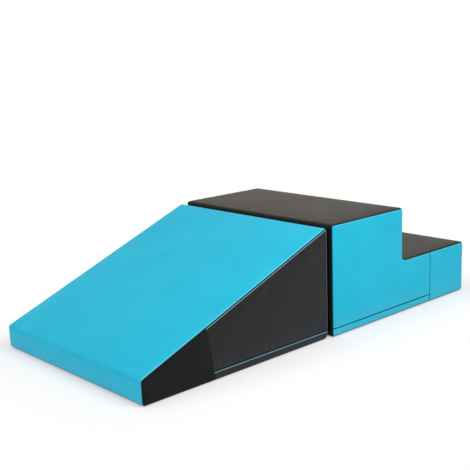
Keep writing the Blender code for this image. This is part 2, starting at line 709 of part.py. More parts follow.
def add_step_sides(material, block):
    """The step block's sides: a main panel, a band below the zip, an end panel past the upright seam."""
    notch = [tuple(point) for point, _ in reversed(notch_fold())]
    main = [
        (0, ZIP_HEIGHT), (STEP_SEAM, ZIP_HEIGHT), (STEP_SEAM, LOW_TREAD_HEIGHT),
        *notch, (TOP_TREAD_DEPTH, STEP_HEIGHT), (0, STEP_HEIGHT),
    ]
    main_rolls = [HEM, FLAT_SEAM] + [CORNER] * (len(main) - 2)
    band = box_outline(0, 0, STEP_SEAM, ZIP_HEIGHT)
    end = box_outline(STEP_SEAM, 0, STEP_LENGTH, LOW_TREAD_HEIGHT)
    for label, side in (("near", -1), ("far", 1)):
        place = side_place(side)
        for name, outline, rolls, swell in (
            ("main", main, main_rolls, CROWN),
            ("band", band, [CORNER, FLAT_SEAM, HEM, CORNER], 0),
            ("end", end, [CORNER, CORNER, CORNER, FLAT_SEAM], CROWN),
        ):
            panel = flat_panel(outline, rolls, place, swell)
            add_piece(f"step_side_{name}_{label}", panel, material, block)


def build_steps(finish):
    """The step block, whose near side is the one at -y."""
    block = add_block("step_block", STEP_FACE_X, SET_MIDDLE_Y - STEP_SIDE_SHIFT, 0)
    black, foam = finish["black_vinyl"], finish["white_foam"]
    zip_end = STEP_SEAM - ZIP_END_MARGIN
    lower, upper = step_cores()
    middle = BOARDS // 2
    board_stack("step", lower, range(1, middle + 1), foam, block, zip_channel(zip_end))
    board_stack("step", upper, range(middle + 1, BOARDS + 1), foam, block)

    top = box_outline(0, -HALF_WIDTH, TOP_TREAD_DEPTH, HALF_WIDTH)
    add_piece("step_top_panel", flat_panel(top, [CORNER] * 4, level_place(STEP_HEIGHT, 1)), black, block)
    add_piece("step_riser_and_tread_panel", bent_panel(tread_path(), swell=0), black, block)
    end = box_outline(-HALF_WIDTH, 0, HALF_WIDTH, LOW_TREAD_HEIGHT)
    add_piece("step_end_panel", flat_panel(end, [CORNER] * 4, face_place(STEP_LENGTH, 1)), black, block)
    add_meeting_panels("step", STEP_HEIGHT, CORNER, black, block)
    add_step_sides(finish["turquoise_vinyl"], block)
    add_base("step", STEP_LENGTH, finish["anti_slip_cloth"], block)
    add_zip("step", zip_end, 1, finish, block)
    add_strips("step_hook_strip", HOOK_THICKNESS, finish["hook_tape"], block)


# Name, colour, roughness and metallic value of each finish
FINISHES = (
    ("turquoise_vinyl", "2FBBDC", 0.45, 0),
    ("black_vinyl", "343434", 0.5, 0),
    ("anti_slip_cloth", "202022", 0.9, 0),
    ("white_foam", "F2F2EE", 0.95, 0),
    ("zip_tape", "1B1C1E", 0.85, 0),
    ("zip_metal", "3A3B3D", 0.35, 0.9),
    ("zip_coil", "18191B", 0.4, 0),
    ("loop_pile", "151517", 0.95, 0),
    ("hook_tape", "19191B", 0.6, 0),
)


def main():
    for thing in list(bpy.data.objects):
        bpy.data.objects.remove(thing)
    finish = {name: make_material(name, *values) for name, *values in FINISHES}
    build_wedge(finish)
    build_steps(finish)


main()
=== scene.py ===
"""Foam climbing set: the sewn covers, foam, zips and grip strips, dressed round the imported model."""
import json
import logging
import math
from dataclasses import dataclass, field
from enum import Enum
from functools import partial
from typing import Callable

import bmesh
import bpy
import numpy as np
from mathutils import Matrix, Vector

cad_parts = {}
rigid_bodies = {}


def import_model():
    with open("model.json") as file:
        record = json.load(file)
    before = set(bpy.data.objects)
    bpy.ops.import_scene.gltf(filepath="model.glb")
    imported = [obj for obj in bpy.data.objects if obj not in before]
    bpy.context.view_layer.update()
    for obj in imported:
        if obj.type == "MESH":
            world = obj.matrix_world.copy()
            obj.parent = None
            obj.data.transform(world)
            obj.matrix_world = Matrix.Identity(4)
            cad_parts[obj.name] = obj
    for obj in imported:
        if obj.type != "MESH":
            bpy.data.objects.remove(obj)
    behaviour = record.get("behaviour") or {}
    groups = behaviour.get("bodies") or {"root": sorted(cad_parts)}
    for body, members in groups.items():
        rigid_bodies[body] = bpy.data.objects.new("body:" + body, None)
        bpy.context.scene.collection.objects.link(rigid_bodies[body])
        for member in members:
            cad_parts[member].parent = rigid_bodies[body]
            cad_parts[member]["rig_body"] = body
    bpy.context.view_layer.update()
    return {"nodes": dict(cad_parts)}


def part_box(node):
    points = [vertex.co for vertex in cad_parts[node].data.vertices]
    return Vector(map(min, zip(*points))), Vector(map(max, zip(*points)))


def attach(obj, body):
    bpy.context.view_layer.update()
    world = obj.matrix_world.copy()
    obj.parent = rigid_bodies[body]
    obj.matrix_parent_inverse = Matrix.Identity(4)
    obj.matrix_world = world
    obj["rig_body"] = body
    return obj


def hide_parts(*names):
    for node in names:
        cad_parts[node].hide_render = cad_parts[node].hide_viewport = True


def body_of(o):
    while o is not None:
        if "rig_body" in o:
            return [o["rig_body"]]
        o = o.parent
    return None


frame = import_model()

MM = 0.001
QUARTER = math.pi / 2
EIGHTH = math.pi / 4
# Slack for rounding, and the points that a search along an outline tries.
TINY = 1e-9
SEARCH_POINTS = 4001
log = logging.getLogger("climbing set")

Array = np.ndarray
Curve = Callable[[Array], Array]
Tree = bpy.types.NodeTree
Socket = bpy.types.NodeSocket
Piece = bpy.types.Object


# Colours and nodes


def linear(code: str) -> tuple[float, float, float, float]:
    """Turns an sRGB hex colour into the linear RGBA that a node takes.

    Args:
        code: six hex digits, red first.

    Returns:
        The linear red, green and blue, and an alpha of 1.
    """
    parts = [int(code[place:place + 2], 16) / 255 for place in (0, 2, 4)]
    red, green, blue = (v / 12.92 if v <= 0.04045 else ((v + 0.055) / 1.055) ** 2.4 for v in parts)
    return red, green, blue, 1.0


def add_node(tree: Tree, kind: str, links: dict | None = None, **settings) -> bpy.types.Node:
    """Adds a node to a tree.

    Args:
        tree: the material's or world's node tree.
        kind: the node's type name.
        links: for each input's name or number, a value to set or an output socket to link.
        settings: the node's own properties.

    Returns:
        The new node.
    """
    node = tree.nodes.new(kind)
    for name, value in settings.items():
        setattr(node, name, value)
    for name, value in (links or {}).items():
        if isinstance(value, Socket):
            tree.links.new(value, node.inputs[name])
        else:
            node.inputs[name].default_value = value
    return node


def blank_material(name: str) -> bpy.types.Material:
    """Makes a material of this name with an empty node tree."""
    material = bpy.data.materials.new(name)
    material.use_nodes = True
    material.node_tree.nodes.clear()
    return material


def finish_tree(tree: Tree, links: dict) -> None:
    """Ends a tree in a Principled shader, with its sockets set or linked so, and the material output."""
    shader = add_node(tree, "ShaderNodeBsdfPrincipled", links)
    add_node(tree, "ShaderNodeOutputMaterial", {"Surface": shader.outputs[0]})


def object_place(tree: Tree) -> Socket:
    """Gives the point's own place on the object, in metres."""
    return add_node(tree, "ShaderNodeTexCoord").outputs["Object"]


def weave(tree: Tree, place: Socket, spacing: float) -> Socket:
    """Draws threads that cross over and under each other: their height is the product of two waves."""
    waves = [add_node(tree, "ShaderNodeTexWave", {"Vector": place, "Scale": WAVE_PERIOD / spacing},
                      bands_direction=way).outputs["Fac"] for way in ("X", "Y")]
    return add_node(tree, "ShaderNodeMath", dict(enumerate(waves)), operation="MULTIPLY").outputs[0]


# A wave texture of scale 1 repeats after this distance.
WAVE_PERIOD = 0.314


# Finishes


@dataclass(frozen=True)
class Finish:
    """What dresses a piece: a material named for what the real one is, and built once.

    pale_upright isn't a field here. It says where the painted highlight, a pale line painted beside an edge
    for light caught on the rolled edge, goes: on the upright faces, or else on the level ones.
    """

    name: str
    pale_upright = True

    def draw(self, tree: Tree) -> None:
        """Fills the material's tree, each finish in its own way."""
        raise NotImplementedError

    def material(self) -> bpy.types.Material:
        """Gives the material, which is built the first time."""
        material = bpy.data.materials.get(self.name)
        if material is None:
            material = blank_material(self.name)
            self.draw(material.node_tree)
        return material


@dataclass(frozen=True)
class CoatedLeather(Finish):
    """PVC leather, embossed and satin: a smooth coat on a knitted back, wipe clean.

    It gives a soft broad sheen, a pebble grain of about a millimetre, and a faint cloudiness in its
    colour. The grain is drawn 1.8 mm wide, because a finer one doesn't show at the photograph's size.
    """

    colour: str
    shade: str
    # seam is the colour of the painted shade in the seam grooves; pale is that of the painted highlight
    # beside an edge and of the painted floor reflection.
    seam: str
    pale: str
    roughness: float
    specular: float
    painted_floor_reflection: float = 0.0
    valley: tuple[float, float] = (0.6 * MM, 1.8 * MM)
    pale_upright: bool = True
    grain: float = 1.8 * MM
    cloud: float = 90 * MM
    bump: float = 0.16 * MM

    def draw(self, tree: Tree) -> None:
        """Draws the leather: cloudy, with painted light and shade (a painted reflection of the white floor
        low down, a painted highlight beside an edge, painted shade in the seams), and grained.

        Each layer of colour is mixed over those before it by its own value, mapped from one range to
        another.
        """
        place = object_place(tree)
        cloud = add_node(tree, "ShaderNodeTexNoise", {
            "Vector": place, "Scale": 1 / self.cloud, "Detail": 3.0}).outputs["Fac"]
        height = add_node(tree, "ShaderNodeSeparateXYZ", {"Vector": place})
        seam, bend = (add_node(tree, "ShaderNodeAttribute", attribute_name=name).outputs["Fac"]
                      for name in (SEAM_NAME, HIGHLIGHT_NAME))
        # The pale line beside an edge is a painted highlight: light caught on the rolled edge.
        beside = add_node(tree, "ShaderNodeMath", {0: bend, 1: PALE_PLACE}, operation="SUBTRACT")
        off = add_node(tree, "ShaderNodeMath", {0: beside.outputs[0]}, operation="ABSOLUTE")
        colour = linear(self.colour)
        for value, start, end, tint, blend in (
                (cloud, CLOUD_RANGE, (0.0, 1.0), self.shade, "LINEAR"),
                # Painted reflection of the white floor: paler towards the floor.
                (height.outputs["Z"], PAINTED_FLOOR_REFLECTION_RANGE, (self.painted_floor_reflection, 0.0), self.pale, "SMOOTHSTEP"),
                # Painted highlight beside an edge.
                (off.outputs[0], (0.0, PALE_HALF), (1.0, 0.0), self.pale, "SMOOTHSTEP"),
                # Painted shade in the seam grooves.
                (seam, self.valley, (SEAM_SHARE, 0.0), self.seam, "LINEAR")):
            share = add_node(tree, "ShaderNodeMapRange", {
                "Value": value, "From Min": start[0], "From Max": start[1],
                "To Min": end[0], "To Max": end[1]}, interpolation_type=blend)
            mixed = add_node(tree, "ShaderNodeMix", {
                "Factor": share.outputs[0], "A": colour, "B": linear(tint)}, data_type="RGBA")
            colour = mixed.outputs["Result"]
        pebble = add_node(tree, "ShaderNodeTexVoronoi", {
            "Vector": place, "Scale": 1 / self.grain, "Smoothness": 0.6}, feature="SMOOTH_F1")
        rub = add_node(tree, "ShaderNodeMapRange", {
            "Value": cloud, "To Min": self.roughness - ROUGHNESS_DRIFT,
            "To Max": self.roughness + ROUGHNESS_DRIFT})
        bump = add_node(tree, "ShaderNodeBump", {
            "Height": pebble.outputs["Distance"], "Strength": 0.8, "Distance": self.bump})
        finish_tree(tree, {"Base Color": colour, "Roughness": rub.outputs[0], "IOR": 1.5,
                           "Specular IOR Level": self.specular, "Normal": bump.outputs[0]})


SEAM_NAME = "seam_distance"
HIGHLIGHT_NAME = "bend_distance"
# The painted highlight beside an edge, a pale line for light caught on the rolled edge: its middle, and half
# its width.
PALE_PLACE = 2.8 * MM
PALE_HALF = 1.3 * MM
# Painted reflection of the white floor: the covers are painted a little paler below these heights.
PAINTED_FLOOR_REFLECTION_RANGE = (8 * MM, 62 * MM)
CLOUD_RANGE = (0.3, 0.7)
# How far the painted shade in the seams goes towards its colour.
SEAM_SHARE = 0.95
ROUGHNESS_DRIFT = 0.05
TURQUOISE = CoatedLeather("turquoise_PVC_leather_embossed", "20BAD8", "1DB4D2", "043C50", "74D0DC", 0.5, 0.12,
                          painted_floor_reflection=0.12, pale_upright=False)
BLACK = CoatedLeather("black_PVC_leather_embossed", "171618", "121113", "030303", "74A9BB", 0.5, 0.24,
                      painted_floor_reflection=0.025)
# The same leather painted darker, with less sheen: painted shade on the wedge's toe panels and on the meeting
# faces in the gap between the blocks.
BLACK_PAINTED_DARKER = CoatedLeather("black_PVC_leather_cut_crosswise", "141414", "111111", "030409", "141414",
                                0.55, 0.12, valley=(1.6 * MM, 4.2 * MM))


# Shapes in the side outline


@dataclass(frozen=True)
class Corner:
    """A corner of a block's side outline and the radius that its foam and cover round it to."""

    x: float
    z: float
    radius: float


@dataclass(frozen=True)
class Span:
    """A straight or round stretch of a side outline.

    bend is the signed radius: above zero where the outline bulges, below zero in a hollow, and zero
    on a straight stretch. facing is the outward direction's angle where the stretch starts.
    """

    start: float
    length: float
    x: float
    z: float
    facing: float
    turn: float
    bend: float

    def middle(self) -> tuple[float, float]:
        """Gives the round stretch's centre: its first point less bend times the way it faces."""
        return self.x - self.bend * math.cos(self.facing), self.z - self.bend * math.sin(self.facing)


@dataclass
class Profile:
    """A block's side outline in x and z, anticlockwise, as straight and round stretches in one smooth loop.

    Places on it are distances along it, from the middle of the first corner's arc.
    """

    corners: tuple[Corner, ...]
    spans: list[Span] = field(default_factory=list)
    middles: list[float] = field(default_factory=list)
    length: float = 0.0

    def __post_init__(self) -> None:
        """Works out the stretches: a corner's arc touches its sides at radius times tan(turn / 2)."""
        count = len(self.corners)
        place = np.array([(corner.x, corner.z) for corner in self.corners])
        ahead = np.roll(place, -1, axis=0) - place
        reach = np.hypot(*ahead.T)
        ahead /= reach[:, None]
        behind = np.roll(ahead, 1, axis=0)
        turns = np.arctan2(behind[:, 0] * ahead[:, 1] - behind[:, 1] * ahead[:, 0], (behind * ahead).sum(1))
        radii = np.array([corner.radius for corner in self.corners])
        touch = radii * np.tan(np.abs(turns) / 2)
        facing = np.arctan2(ahead[:, 1], ahead[:, 0]) - QUARTER
        travelled = 0.0

        def lay(x: float, z: float, angle: float, turn: float, bend: float, length: float) -> None:
            """Adds one stretch at the end of the outline so far."""
            nonlocal travelled
            self.spans.append(Span(travelled, length, x, z, angle, turn, bend))
            travelled += length

        for number in range(count + 1):
            here = number % count
            bend = math.copysign(radii[here], turns[here])
            first = facing[here] - turns[here]
            entry = place[here] - behind[here] * touch[here]
            centre = entry - bend * np.array((math.cos(first), math.sin(first)))
            half = radii[here] * abs(turns[here]) / 2
            if number:
                lay(*entry, first, turns[here] / 2, bend, half)
            if number < count:
                self.middles.append(travelled)
                crest = first + turns[here] / 2
                top = centre + bend * np.array((math.cos(crest), math.sin(crest)))
                lay(*top, crest, turns[here] / 2, bend, half)
                leave = place[here] + ahead[here] * touch[here]
                straight = reach[here] - touch[here] - touch[(here + 1) % count]
                lay(*leave, facing[here], 0.0, 0.0, straight)
        self.length = travelled

    def at(self, s: Array, depth: float = 0.0) -> tuple[Array, Array]:
        """Gives points of the outline, moved inwards by depth.

        On a straight stretch a point is its start plus the distance times the direction. On a round one
        it is the centre plus the bend less the depth, times the way that it faces.

        Args:
            s: distances along the outline.
            depth: how far inside the outline the points lie.

        Returns:
            The points, as rows of x and z, and the directions that they face.
        """
        s = np.atleast_1d(np.asarray(s, float))
        angle = np.zeros_like(s)
        point = np.zeros(s.shape + (2,))
        for span in self.spans:
            inside = (s >= span.start - TINY) & (s <= span.start + span.length + TINY)
            gone = s[inside] - span.start
            if span.bend:
                turned = span.facing + span.turn * gone / span.length
                out = np.stack((np.cos(turned), np.sin(turned)), -1)
                point[inside] = np.array(span.middle()) + span.bend * out
                angle[inside] = turned
            else:
                way = np.array((-math.sin(span.facing), math.cos(span.facing)))
                point[inside] = np.array((span.x, span.z)) + gone[:, None] * way
                angle[inside] = span.facing
        out = np.stack((np.cos(angle), np.sin(angle)), -1)
        return point - depth * out, out

    def nearest(self, points: Array, depth: float) -> tuple[Array, Array, Array, Array]:
        """Finds where points in the side's plane lie against the outline moved inwards by depth.

        Each stretch gives its own nearest point, with the distance or the angle held to its ends, and
        the closest of them counts.

        Args:
            points: rows of x and z.
            depth: how far inside the outline the compared curve lies.

        Returns:
            The signed distance past that curve, the nearest point, the way it faces, and its place
            along the outline.
        """
        count = len(points)
        best = np.full(count, np.inf)
        past, foot = np.zeros(count), np.zeros((count, 2))
        out, place = np.zeros((count, 2)), np.zeros(count)
        for span in self.spans:
            if span.bend:
                middle = np.array(span.middle())
                radius = span.bend - depth
                rel = (points - middle) * math.copysign(1, radius)
                centre_angle = span.facing + span.turn / 2
                off = np.arctan2(rel[:, 1], rel[:, 0]) - centre_angle
                half = abs(span.turn) / 2
                off = np.clip((off + math.pi) % (2 * math.pi) - math.pi, -half, half)
                angle = centre_angle + off
                facing = np.stack((np.cos(angle), np.sin(angle)), -1)
                near = middle + radius * facing
                share = (angle - span.facing) / span.turn
                where = span.start + share * span.length
            else:
                face = np.array((math.cos(span.facing), math.sin(span.facing)))
                way = np.array((-face[1], face[0]))
                base = np.array((span.x, span.z)) - depth * face
                gone = np.clip((points - base) @ way, 0, span.length)
                near = base + gone[:, None] * way
                facing = np.broadcast_to(face, near.shape)
                where = span.start + gone
            gap = points - near
            away = np.hypot(gap[:, 0], gap[:, 1])
            closer = away < best - TINY
            best[closer] = away[closer]
            past[closer] = np.where((gap * facing).sum(1) >= 0, away, -away)[closer]
            foot[closer] = near[closer]
            out[closer] = facing[closer]
            place[closer] = where[closer]
        return past, foot, out, place

    def crossing(self, low: float, high: float, depth: float, through: tuple, way: tuple) -> float:
        """Finds where the outline moved inwards crosses a straight line.

        Args:
            low: where the search along the outline starts.
            high: where it ends.
            depth: how far inside the outline the curve lies.
            through: a point of the line, as x and z.
            way: the line's direction.

        Returns:
            The distance along the outline of the first crossing.
        """
        s = np.linspace(low, high, SEARCH_POINTS)
        point, _ = self.at(s, depth)
        rel = point - np.array(through)
        side = rel[:, 0] * way[1] - rel[:, 1] * way[0]
        first = int(np.nonzero(np.diff(np.sign(side)))[0][0])
        share = side[first] / (side[first] - side[first + 1])
        return float(s[first] + share * (s[first + 1] - s[first]))


# Flat patterns


def straight(start: Array, end: Array) -> Curve:
    """Gives the straight line from start to end as a curve of a share from 0 to 1."""
    start, end = np.asarray(start, float), np.asarray(end, float)
    return lambda share: start + np.asarray(share)[:, None] * (end - start)


def between(bottom: Curve, top: Curve, left: Curve, right: Curve, across: Array, up: Array) -> Array:
    """Fills the area between four curves with a grid.

    A point is the mix of bottom and top by up, plus the mix of left and right by across, less the mix
    of the four corners by both.

    Args:
        bottom: from the left corner to the right one.
        top: the same at the top.
        left: from the bottom corner to the top one.
        right: the same on the right.
        across: shares from left to right.
        up: shares from bottom to top.

    Returns:
        A grid of points, first across and then up.
    """
    u, v = across[:, None, None], up[None, :, None]
    low, high = bottom(across)[:, None], top(across)[:, None]
    west, east = left(up)[None], right(up)[None]
    corners = ((1 - u) * (1 - v) * low[:1] + u * (1 - v) * low[-1:]
               + (1 - u) * v * high[:1] + u * v * high[-1:])
    return (1 - v) * low + v * high + (1 - u) * west + u * east - corners


def spaced(length: float, step: float, start: bool = True, end: bool = True) -> Array:
    """Gives places from 0 to length, closer together near the ends that a seam or fold rounds.

    Args:
        length: the whole distance.
        step: the spacing in the middle.
        start: whether the first end is graded.
        end: whether the last end is.

    Returns:
        Rising places, the first 0 and the last length.
    """
    fine = np.array(EDGE_PLACES)
    if step > COARSE_FROM or length < 4 * fine[-1]:
        count = max(2, round(length / min(step, length / 4)))
        even = np.linspace(0, length, count + 1)
        if step > COARSE_FROM:
            return even
        fine = fine[fine < length / 3]
    low = fine if start else fine[:1]
    high = length - fine[::-1] if end else np.array([length])
    gap = high[0] - low[-1]
    middle = np.linspace(low[-1], high[0], max(1, round(gap / step)) + 1)
    return np.concatenate((low, middle[1:-1], high))


EDGE_PLACES = tuple(value * MM for value in (0, 0.2, 0.42, 0.7, 1.05, 1.5, 2.1, 3.0, 4.2))
COARSE_FROM = 5 * MM


# Sewn edges


@dataclass(frozen=True)
class SewnEdge:
    """How a panel's edge rolls down to its seam: an arc of one radius that turns so far, in radians.

    setback is from the seam's line to the panel's free edge, and pucker is the height of the small waves
    that the stitching draws in.
    """

    setback: float
    radius: float
    turn: float
    pucker: float

    def depth(self, distance: Array) -> Array:
        """Gives how deep the roll lies: the radius less the root of its square less that of what is left.

        Args:
            distance: from the seam's line.

        Returns:
            The depth below the panel, zero past the roll.
        """
        reach = self.radius * math.sin(self.turn)
        left = np.clip(reach - (distance - self.setback), 0, reach)
        return self.radius - np.sqrt(self.radius ** 2 - left ** 2)


class Seam(Enum):
    """The kinds of sewn edge on the covers."""

    BLOCK_EDGE = SewnEdge(0.0, 2.3 * MM, math.radians(60), 0.2 * MM)
    FLAT_SEAM = SewnEdge(0.0, 2.8 * MM, math.radians(55), 0.16 * MM)
    ZIP_HEM = SewnEdge(0.8 * MM, 1.4 * MM, math.radians(62), 0.05 * MM)
    ZIP_LIP = SewnEdge(0.8 * MM, 2.8 * MM, math.radians(62), 0.05 * MM)


@dataclass(frozen=True)
class SeamLine:
    """A straight seam on a flat pattern, through a point, with the direction into the panel."""

    kind: Seam
    through: tuple[float, float]
    inward: tuple[float, float]

    def measure(self, flat: Array) -> tuple[Array, Array]:
        """Gives each point's distance from the seam and its place along it.

        Args:
            flat: rows of pattern points.

        Returns:
            The distances and the places.
        """
        rel = flat - np.array(self.through)
        along = np.array((abs(self.inward[1]), abs(self.inward[0])))
        return rel @ np.array(self.inward), rel @ along


PUCKER_LENGTH = 9 * MM
PUCKER_REACH = 7 * MM


def pucker_wave(along: Array) -> Array:
    """Gives the wave along a seam: a sine whose phase and height drift, so that no two gathers match."""
    turn = 2 * math.pi * along / PUCKER_LENGTH
    return np.sin(turn + 1.4 * np.sin(turn / 5.3)) * (0.6 + 0.4 * np.sin(turn / 3.7 + 1))


# Blocks


class Face(Enum):
    """Which way a panel lies on its block."""

    ACROSS = 0
    NEAR = 1
    FAR = 2


@dataclass
class Block:
    """One foam block in its own frame: x away from the meeting face, y across, z up.

    origin and turn set it in the shared frame, with turn -1 for half a turn about z. Its body is called
    name, its nodes' names start with prefix, and its zip ends at zip_end on both sides.
    """

    name: str
    profile: Profile
    half: float
    roll: float
    origin: tuple[float, float, float]
    turn: int
    shoulder: float
    prefix: str
    zip_end: float
    shoulder_reach: float = 14 * MM

    def fall(self, distance: Array) -> Array:
        """Gives how far the foam's worn edge falls away: the shoulder times the square of the share left."""
        return self.shoulder * np.clip(1 - np.maximum(distance, 0) / self.shoulder_reach, 0, 1) ** 2

    def sign(self, face: Face) -> int:
        """Gives the sign of y on a side in the block's own frame."""
        return -self.turn if face is Face.NEAR else self.turn

    def placed(self, local: Array) -> Array:
        """Sets points of the block's frame in the shared frame: turned, then moved to the origin."""
        return self.turned(local) + np.array(self.origin)

    def turned(self, local: Array) -> Array:
        """Turns directions of the block's frame into the shared frame."""
        return local * np.array((self.turn, self.turn, 1))

    def seam_depth(self) -> float:
        """Gives how far inside the outline a side's pattern ends: the roll less an eighth turn of it."""
        return self.roll * (1 - EIGHTH)

    def half_pattern(self) -> float:
        """Gives half the width of a cross panel's pattern: the flat half and an eighth turn of the roll."""
        return self.half - self.seam_depth()

    def across(self, flat: Array) -> tuple[Array, Array]:
        """Rolls a cross panel's pattern on to the block.

        Up to the flat half the point is the outline's. Past it the angle is the rest over the roll, the
        point lies on an arc about the outline moved inwards by the roll, and its y gains roll times sine.

        Args:
            flat: rows of (place along the outline, y).

        Returns:
            The points and the way that the surface faces there.
        """
        inner, out = self.profile.at(flat[:, 0], self.roll)
        flat_half = self.half - self.roll
        angle = np.maximum(np.abs(flat[:, 1]) - flat_half, 0) / self.roll
        side = np.sign(flat[:, 1])
        rise = self.roll * np.cos(angle)[:, None] * out
        y = side * (np.minimum(np.abs(flat[:, 1]), flat_half) + self.roll * np.sin(angle))
        point = np.column_stack((inner[:, 0] + rise[:, 0], y, inner[:, 1] + rise[:, 1]))
        facing = np.column_stack((out[:, 0] * np.cos(angle), side * np.sin(angle), out[:, 1] * np.cos(angle)))
        return point, facing

    def beside(self, flat: Array, face: Face) -> tuple[Array, Array, Array, Array]:
        """Rolls a side panel's pattern on to the block.

        Inside the outline moved inwards by the roll the panel is flat. Past it the angle is the distance
        over the roll, and the point leaves that curve by roll times sine and drops by roll less cosine.

        Args:
            flat: rows of x and z.
            face: which side.

        Returns:
            The points, the way that the surface faces, the distance left to the outline's seam, and the
            place along the outline.
        """
        past, foot, out, place = self.profile.nearest(flat, self.roll)
        angle = np.maximum(past, 0)[:, None] / self.roll
        rolled = past > 0
        plane = np.where(rolled[:, None], foot + self.roll * np.sin(angle) * out, flat)
        sign = self.sign(face)
        y = sign * (self.half - self.roll + self.roll * np.cos(angle[:, 0]))
        point = np.column_stack((plane[:, 0], y, plane[:, 1]))
        lean = np.sin(angle) * out
        facing = np.column_stack((lean[:, 0], sign * np.cos(angle[:, 0]), lean[:, 1]))
        return point, facing, self.roll * EIGHTH - past, place


# Panels


@dataclass
class Pattern:
    """A panel's grid: its lines' places across and up, the flat points, and the cells that are kept."""

    across: Array
    up: Array
    flat: Array
    keep: Array


Cut = Callable[[float], Pattern]


def soften(points: Array, height: float) -> Array:
    """Gives the slow unevenness of soft foam under a cover: five crossing sine waves of 70 to 260 mm.

    It fades to nothing at the floor, where the block's weight presses it flat.

    Args:
        points: on the block, in its own frame.
        height: the waves' height together.

    Returns:
        The rise at each point.
    """
    waves = np.array(SLOW_WAVES)
    total = np.sin(points @ (2 * math.pi * waves[:, :3].T) + waves[:, 3]) @ waves[:, 4]
    return height * total * np.clip(points[:, 2] / PRESSED_BELOW, 0, 1)


# Under this height the block's weight presses the slow waves flat.
PRESSED_BELOW = 40 * MM
# Each wave's direction as turns for each metre, then its start and its share of the height.
SLOW_WAVES = (
    (4.1, 1.3, 2.2, 0.4, 0.34),
    (-2.7, 5.2, 3.1, 2.1, 0.26),
    (7.3, -3.9, 5.5, 4.0, 0.18),
    (9.8, 8.1, -6.4, 1.2, 0.12),
    (-12.5, 6.7, 9.1, 5.3, 0.1),
)


def resample(values: Array, old: Array, new: Array) -> Array:
    """Reads a row of values at new places with a cubic through each pair, whose slopes are the neighbours'.

    Args:
        values: one row for each old place.
        old: rising places.
        new: rising places in the same range.

    Returns:
        One row for each new place.
    """
    slope = np.gradient(values, old, axis=0)
    place = np.clip(np.searchsorted(old, new, side="right") - 1, 0, len(old) - 2)
    width = (old[place + 1] - old[place])[:, None]
    share = (new - old[place])[:, None] / width
    first, last = values[place], values[place + 1]
    rise, fall = slope[place] * width, slope[place + 1] * width
    smooth = share * share * (3 - 2 * share)
    return (first + (last - first) * smooth
            + share * (1 - share) ** 2 * rise - share * share * (1 - share) * fall)


def crossings(*lines: Array) -> Array:
    """Gives every crossing of two sets of lines, as a grid of points."""
    return np.stack(np.meshgrid(*lines, indexing="ij"), -1)


def grid_faces(keep: Array) -> tuple[Array, Array]:
    """Gives the quads of a grid's kept cells.

    Args:
        keep: true for each cell that stays.

    Returns:
        The used points' numbers in the whole grid, and quads that count only those.
    """
    number = np.arange((keep.shape[0] + 1) * (keep.shape[1] + 1)).reshape(keep.shape[0] + 1, -1)
    quads = np.stack((number[:-1, :-1], number[1:, :-1], number[1:, 1:], number[:-1, 1:]), -1)[keep]
    used, renumbered = np.unique(quads, return_inverse=True)
    return used, renumbered.reshape(quads.shape)


def free_edges(quads: Array) -> Array:
    """Finds the edges that only one face has, each in that face's direction."""
    edges = np.stack((quads, np.roll(quads, -1, axis=1)), -1).reshape(-1, 2)
    low, high = edges.min(1), edges.max(1)
    code = low * (quads.max() + 1) + high
    _, first, count = np.unique(code, return_index=True, return_counts=True)
    return edges[first[count == 1]]


def shell(outer: Array, inner: Array, quads: Array) -> tuple[Array, Array]:
    """Closes two sheets of points into one shell: the outer quads, the inner ones turned, and the rims.

    Args:
        outer: points of the outer sheet.
        inner: the same points of the inner sheet.
        quads: faces of the outer sheet, seen from outside.

    Returns:
        All points and all quads.
    """
    count = len(outer)
    rim = free_edges(quads)
    walls = np.stack((rim[:, 1], rim[:, 0], rim[:, 0] + count, rim[:, 1] + count), -1)
    return np.vstack((outer, inner)), np.vstack((quads, quads[:, ::-1] + count, walls))


def linked(name: str, data: bpy.types.ID) -> Piece:
    """Makes an object of this data and links it to the scene."""
    piece = bpy.data.objects.new(name, data)
    bpy.context.scene.collection.objects.link(piece)
    return piece


def new_mesh(name: str, points: Array, faces: Array | list[Array], flat: Array | None = None) -> Piece:
    """Makes a smooth mesh object from arrays, with sharp edges kept sharp.

    Args:
        name: the piece's name.
        points: rows of x, y and z in the shared frame.
        faces: rows of point numbers, or a list of such arrays.
        flat: rows of pattern places in metres, which become the UV map.

    Returns:
        The object, linked to the scene.
    """
    groups = faces if isinstance(faces, list) else [faces]
    sizes = np.concatenate([np.full(len(group), group.shape[1]) for group in groups])
    order = np.concatenate([group.ravel() for group in groups])
    mesh = bpy.data.meshes.new(name)
    mesh.vertices.add(len(points))
    mesh.vertices.foreach_set("co", points.astype(np.float32).ravel())
    mesh.loops.add(len(order))
    mesh.loops.foreach_set("vertex_index", order.astype(np.int32))
    mesh.polygons.add(len(sizes))
    mesh.polygons.foreach_set("loop_start", (np.cumsum(sizes) - sizes).astype(np.int32))
    mesh.polygons.foreach_set("use_smooth", np.ones(len(sizes), bool))
    mesh.update(calc_edges=True)
    if flat is not None:
        layer = mesh.uv_layers.new(name="flat_pattern")
        layer.uv.foreach_set("vector", flat[order].astype(np.float32).ravel())
    mesh.set_sharp_from_angle(angle=SHARP_FROM)
    mesh.validate()
    return linked(name, mesh)


SHARP_FROM = math.radians(42)


def set_values(piece: Piece, name: str, values: Array) -> None:
    """Gives a mesh one value at each point, under a name that its material reads."""
    layer = piece.data.attributes.new(name, "FLOAT", "POINT")
    layer.data.foreach_set("value", values.astype(np.float32))


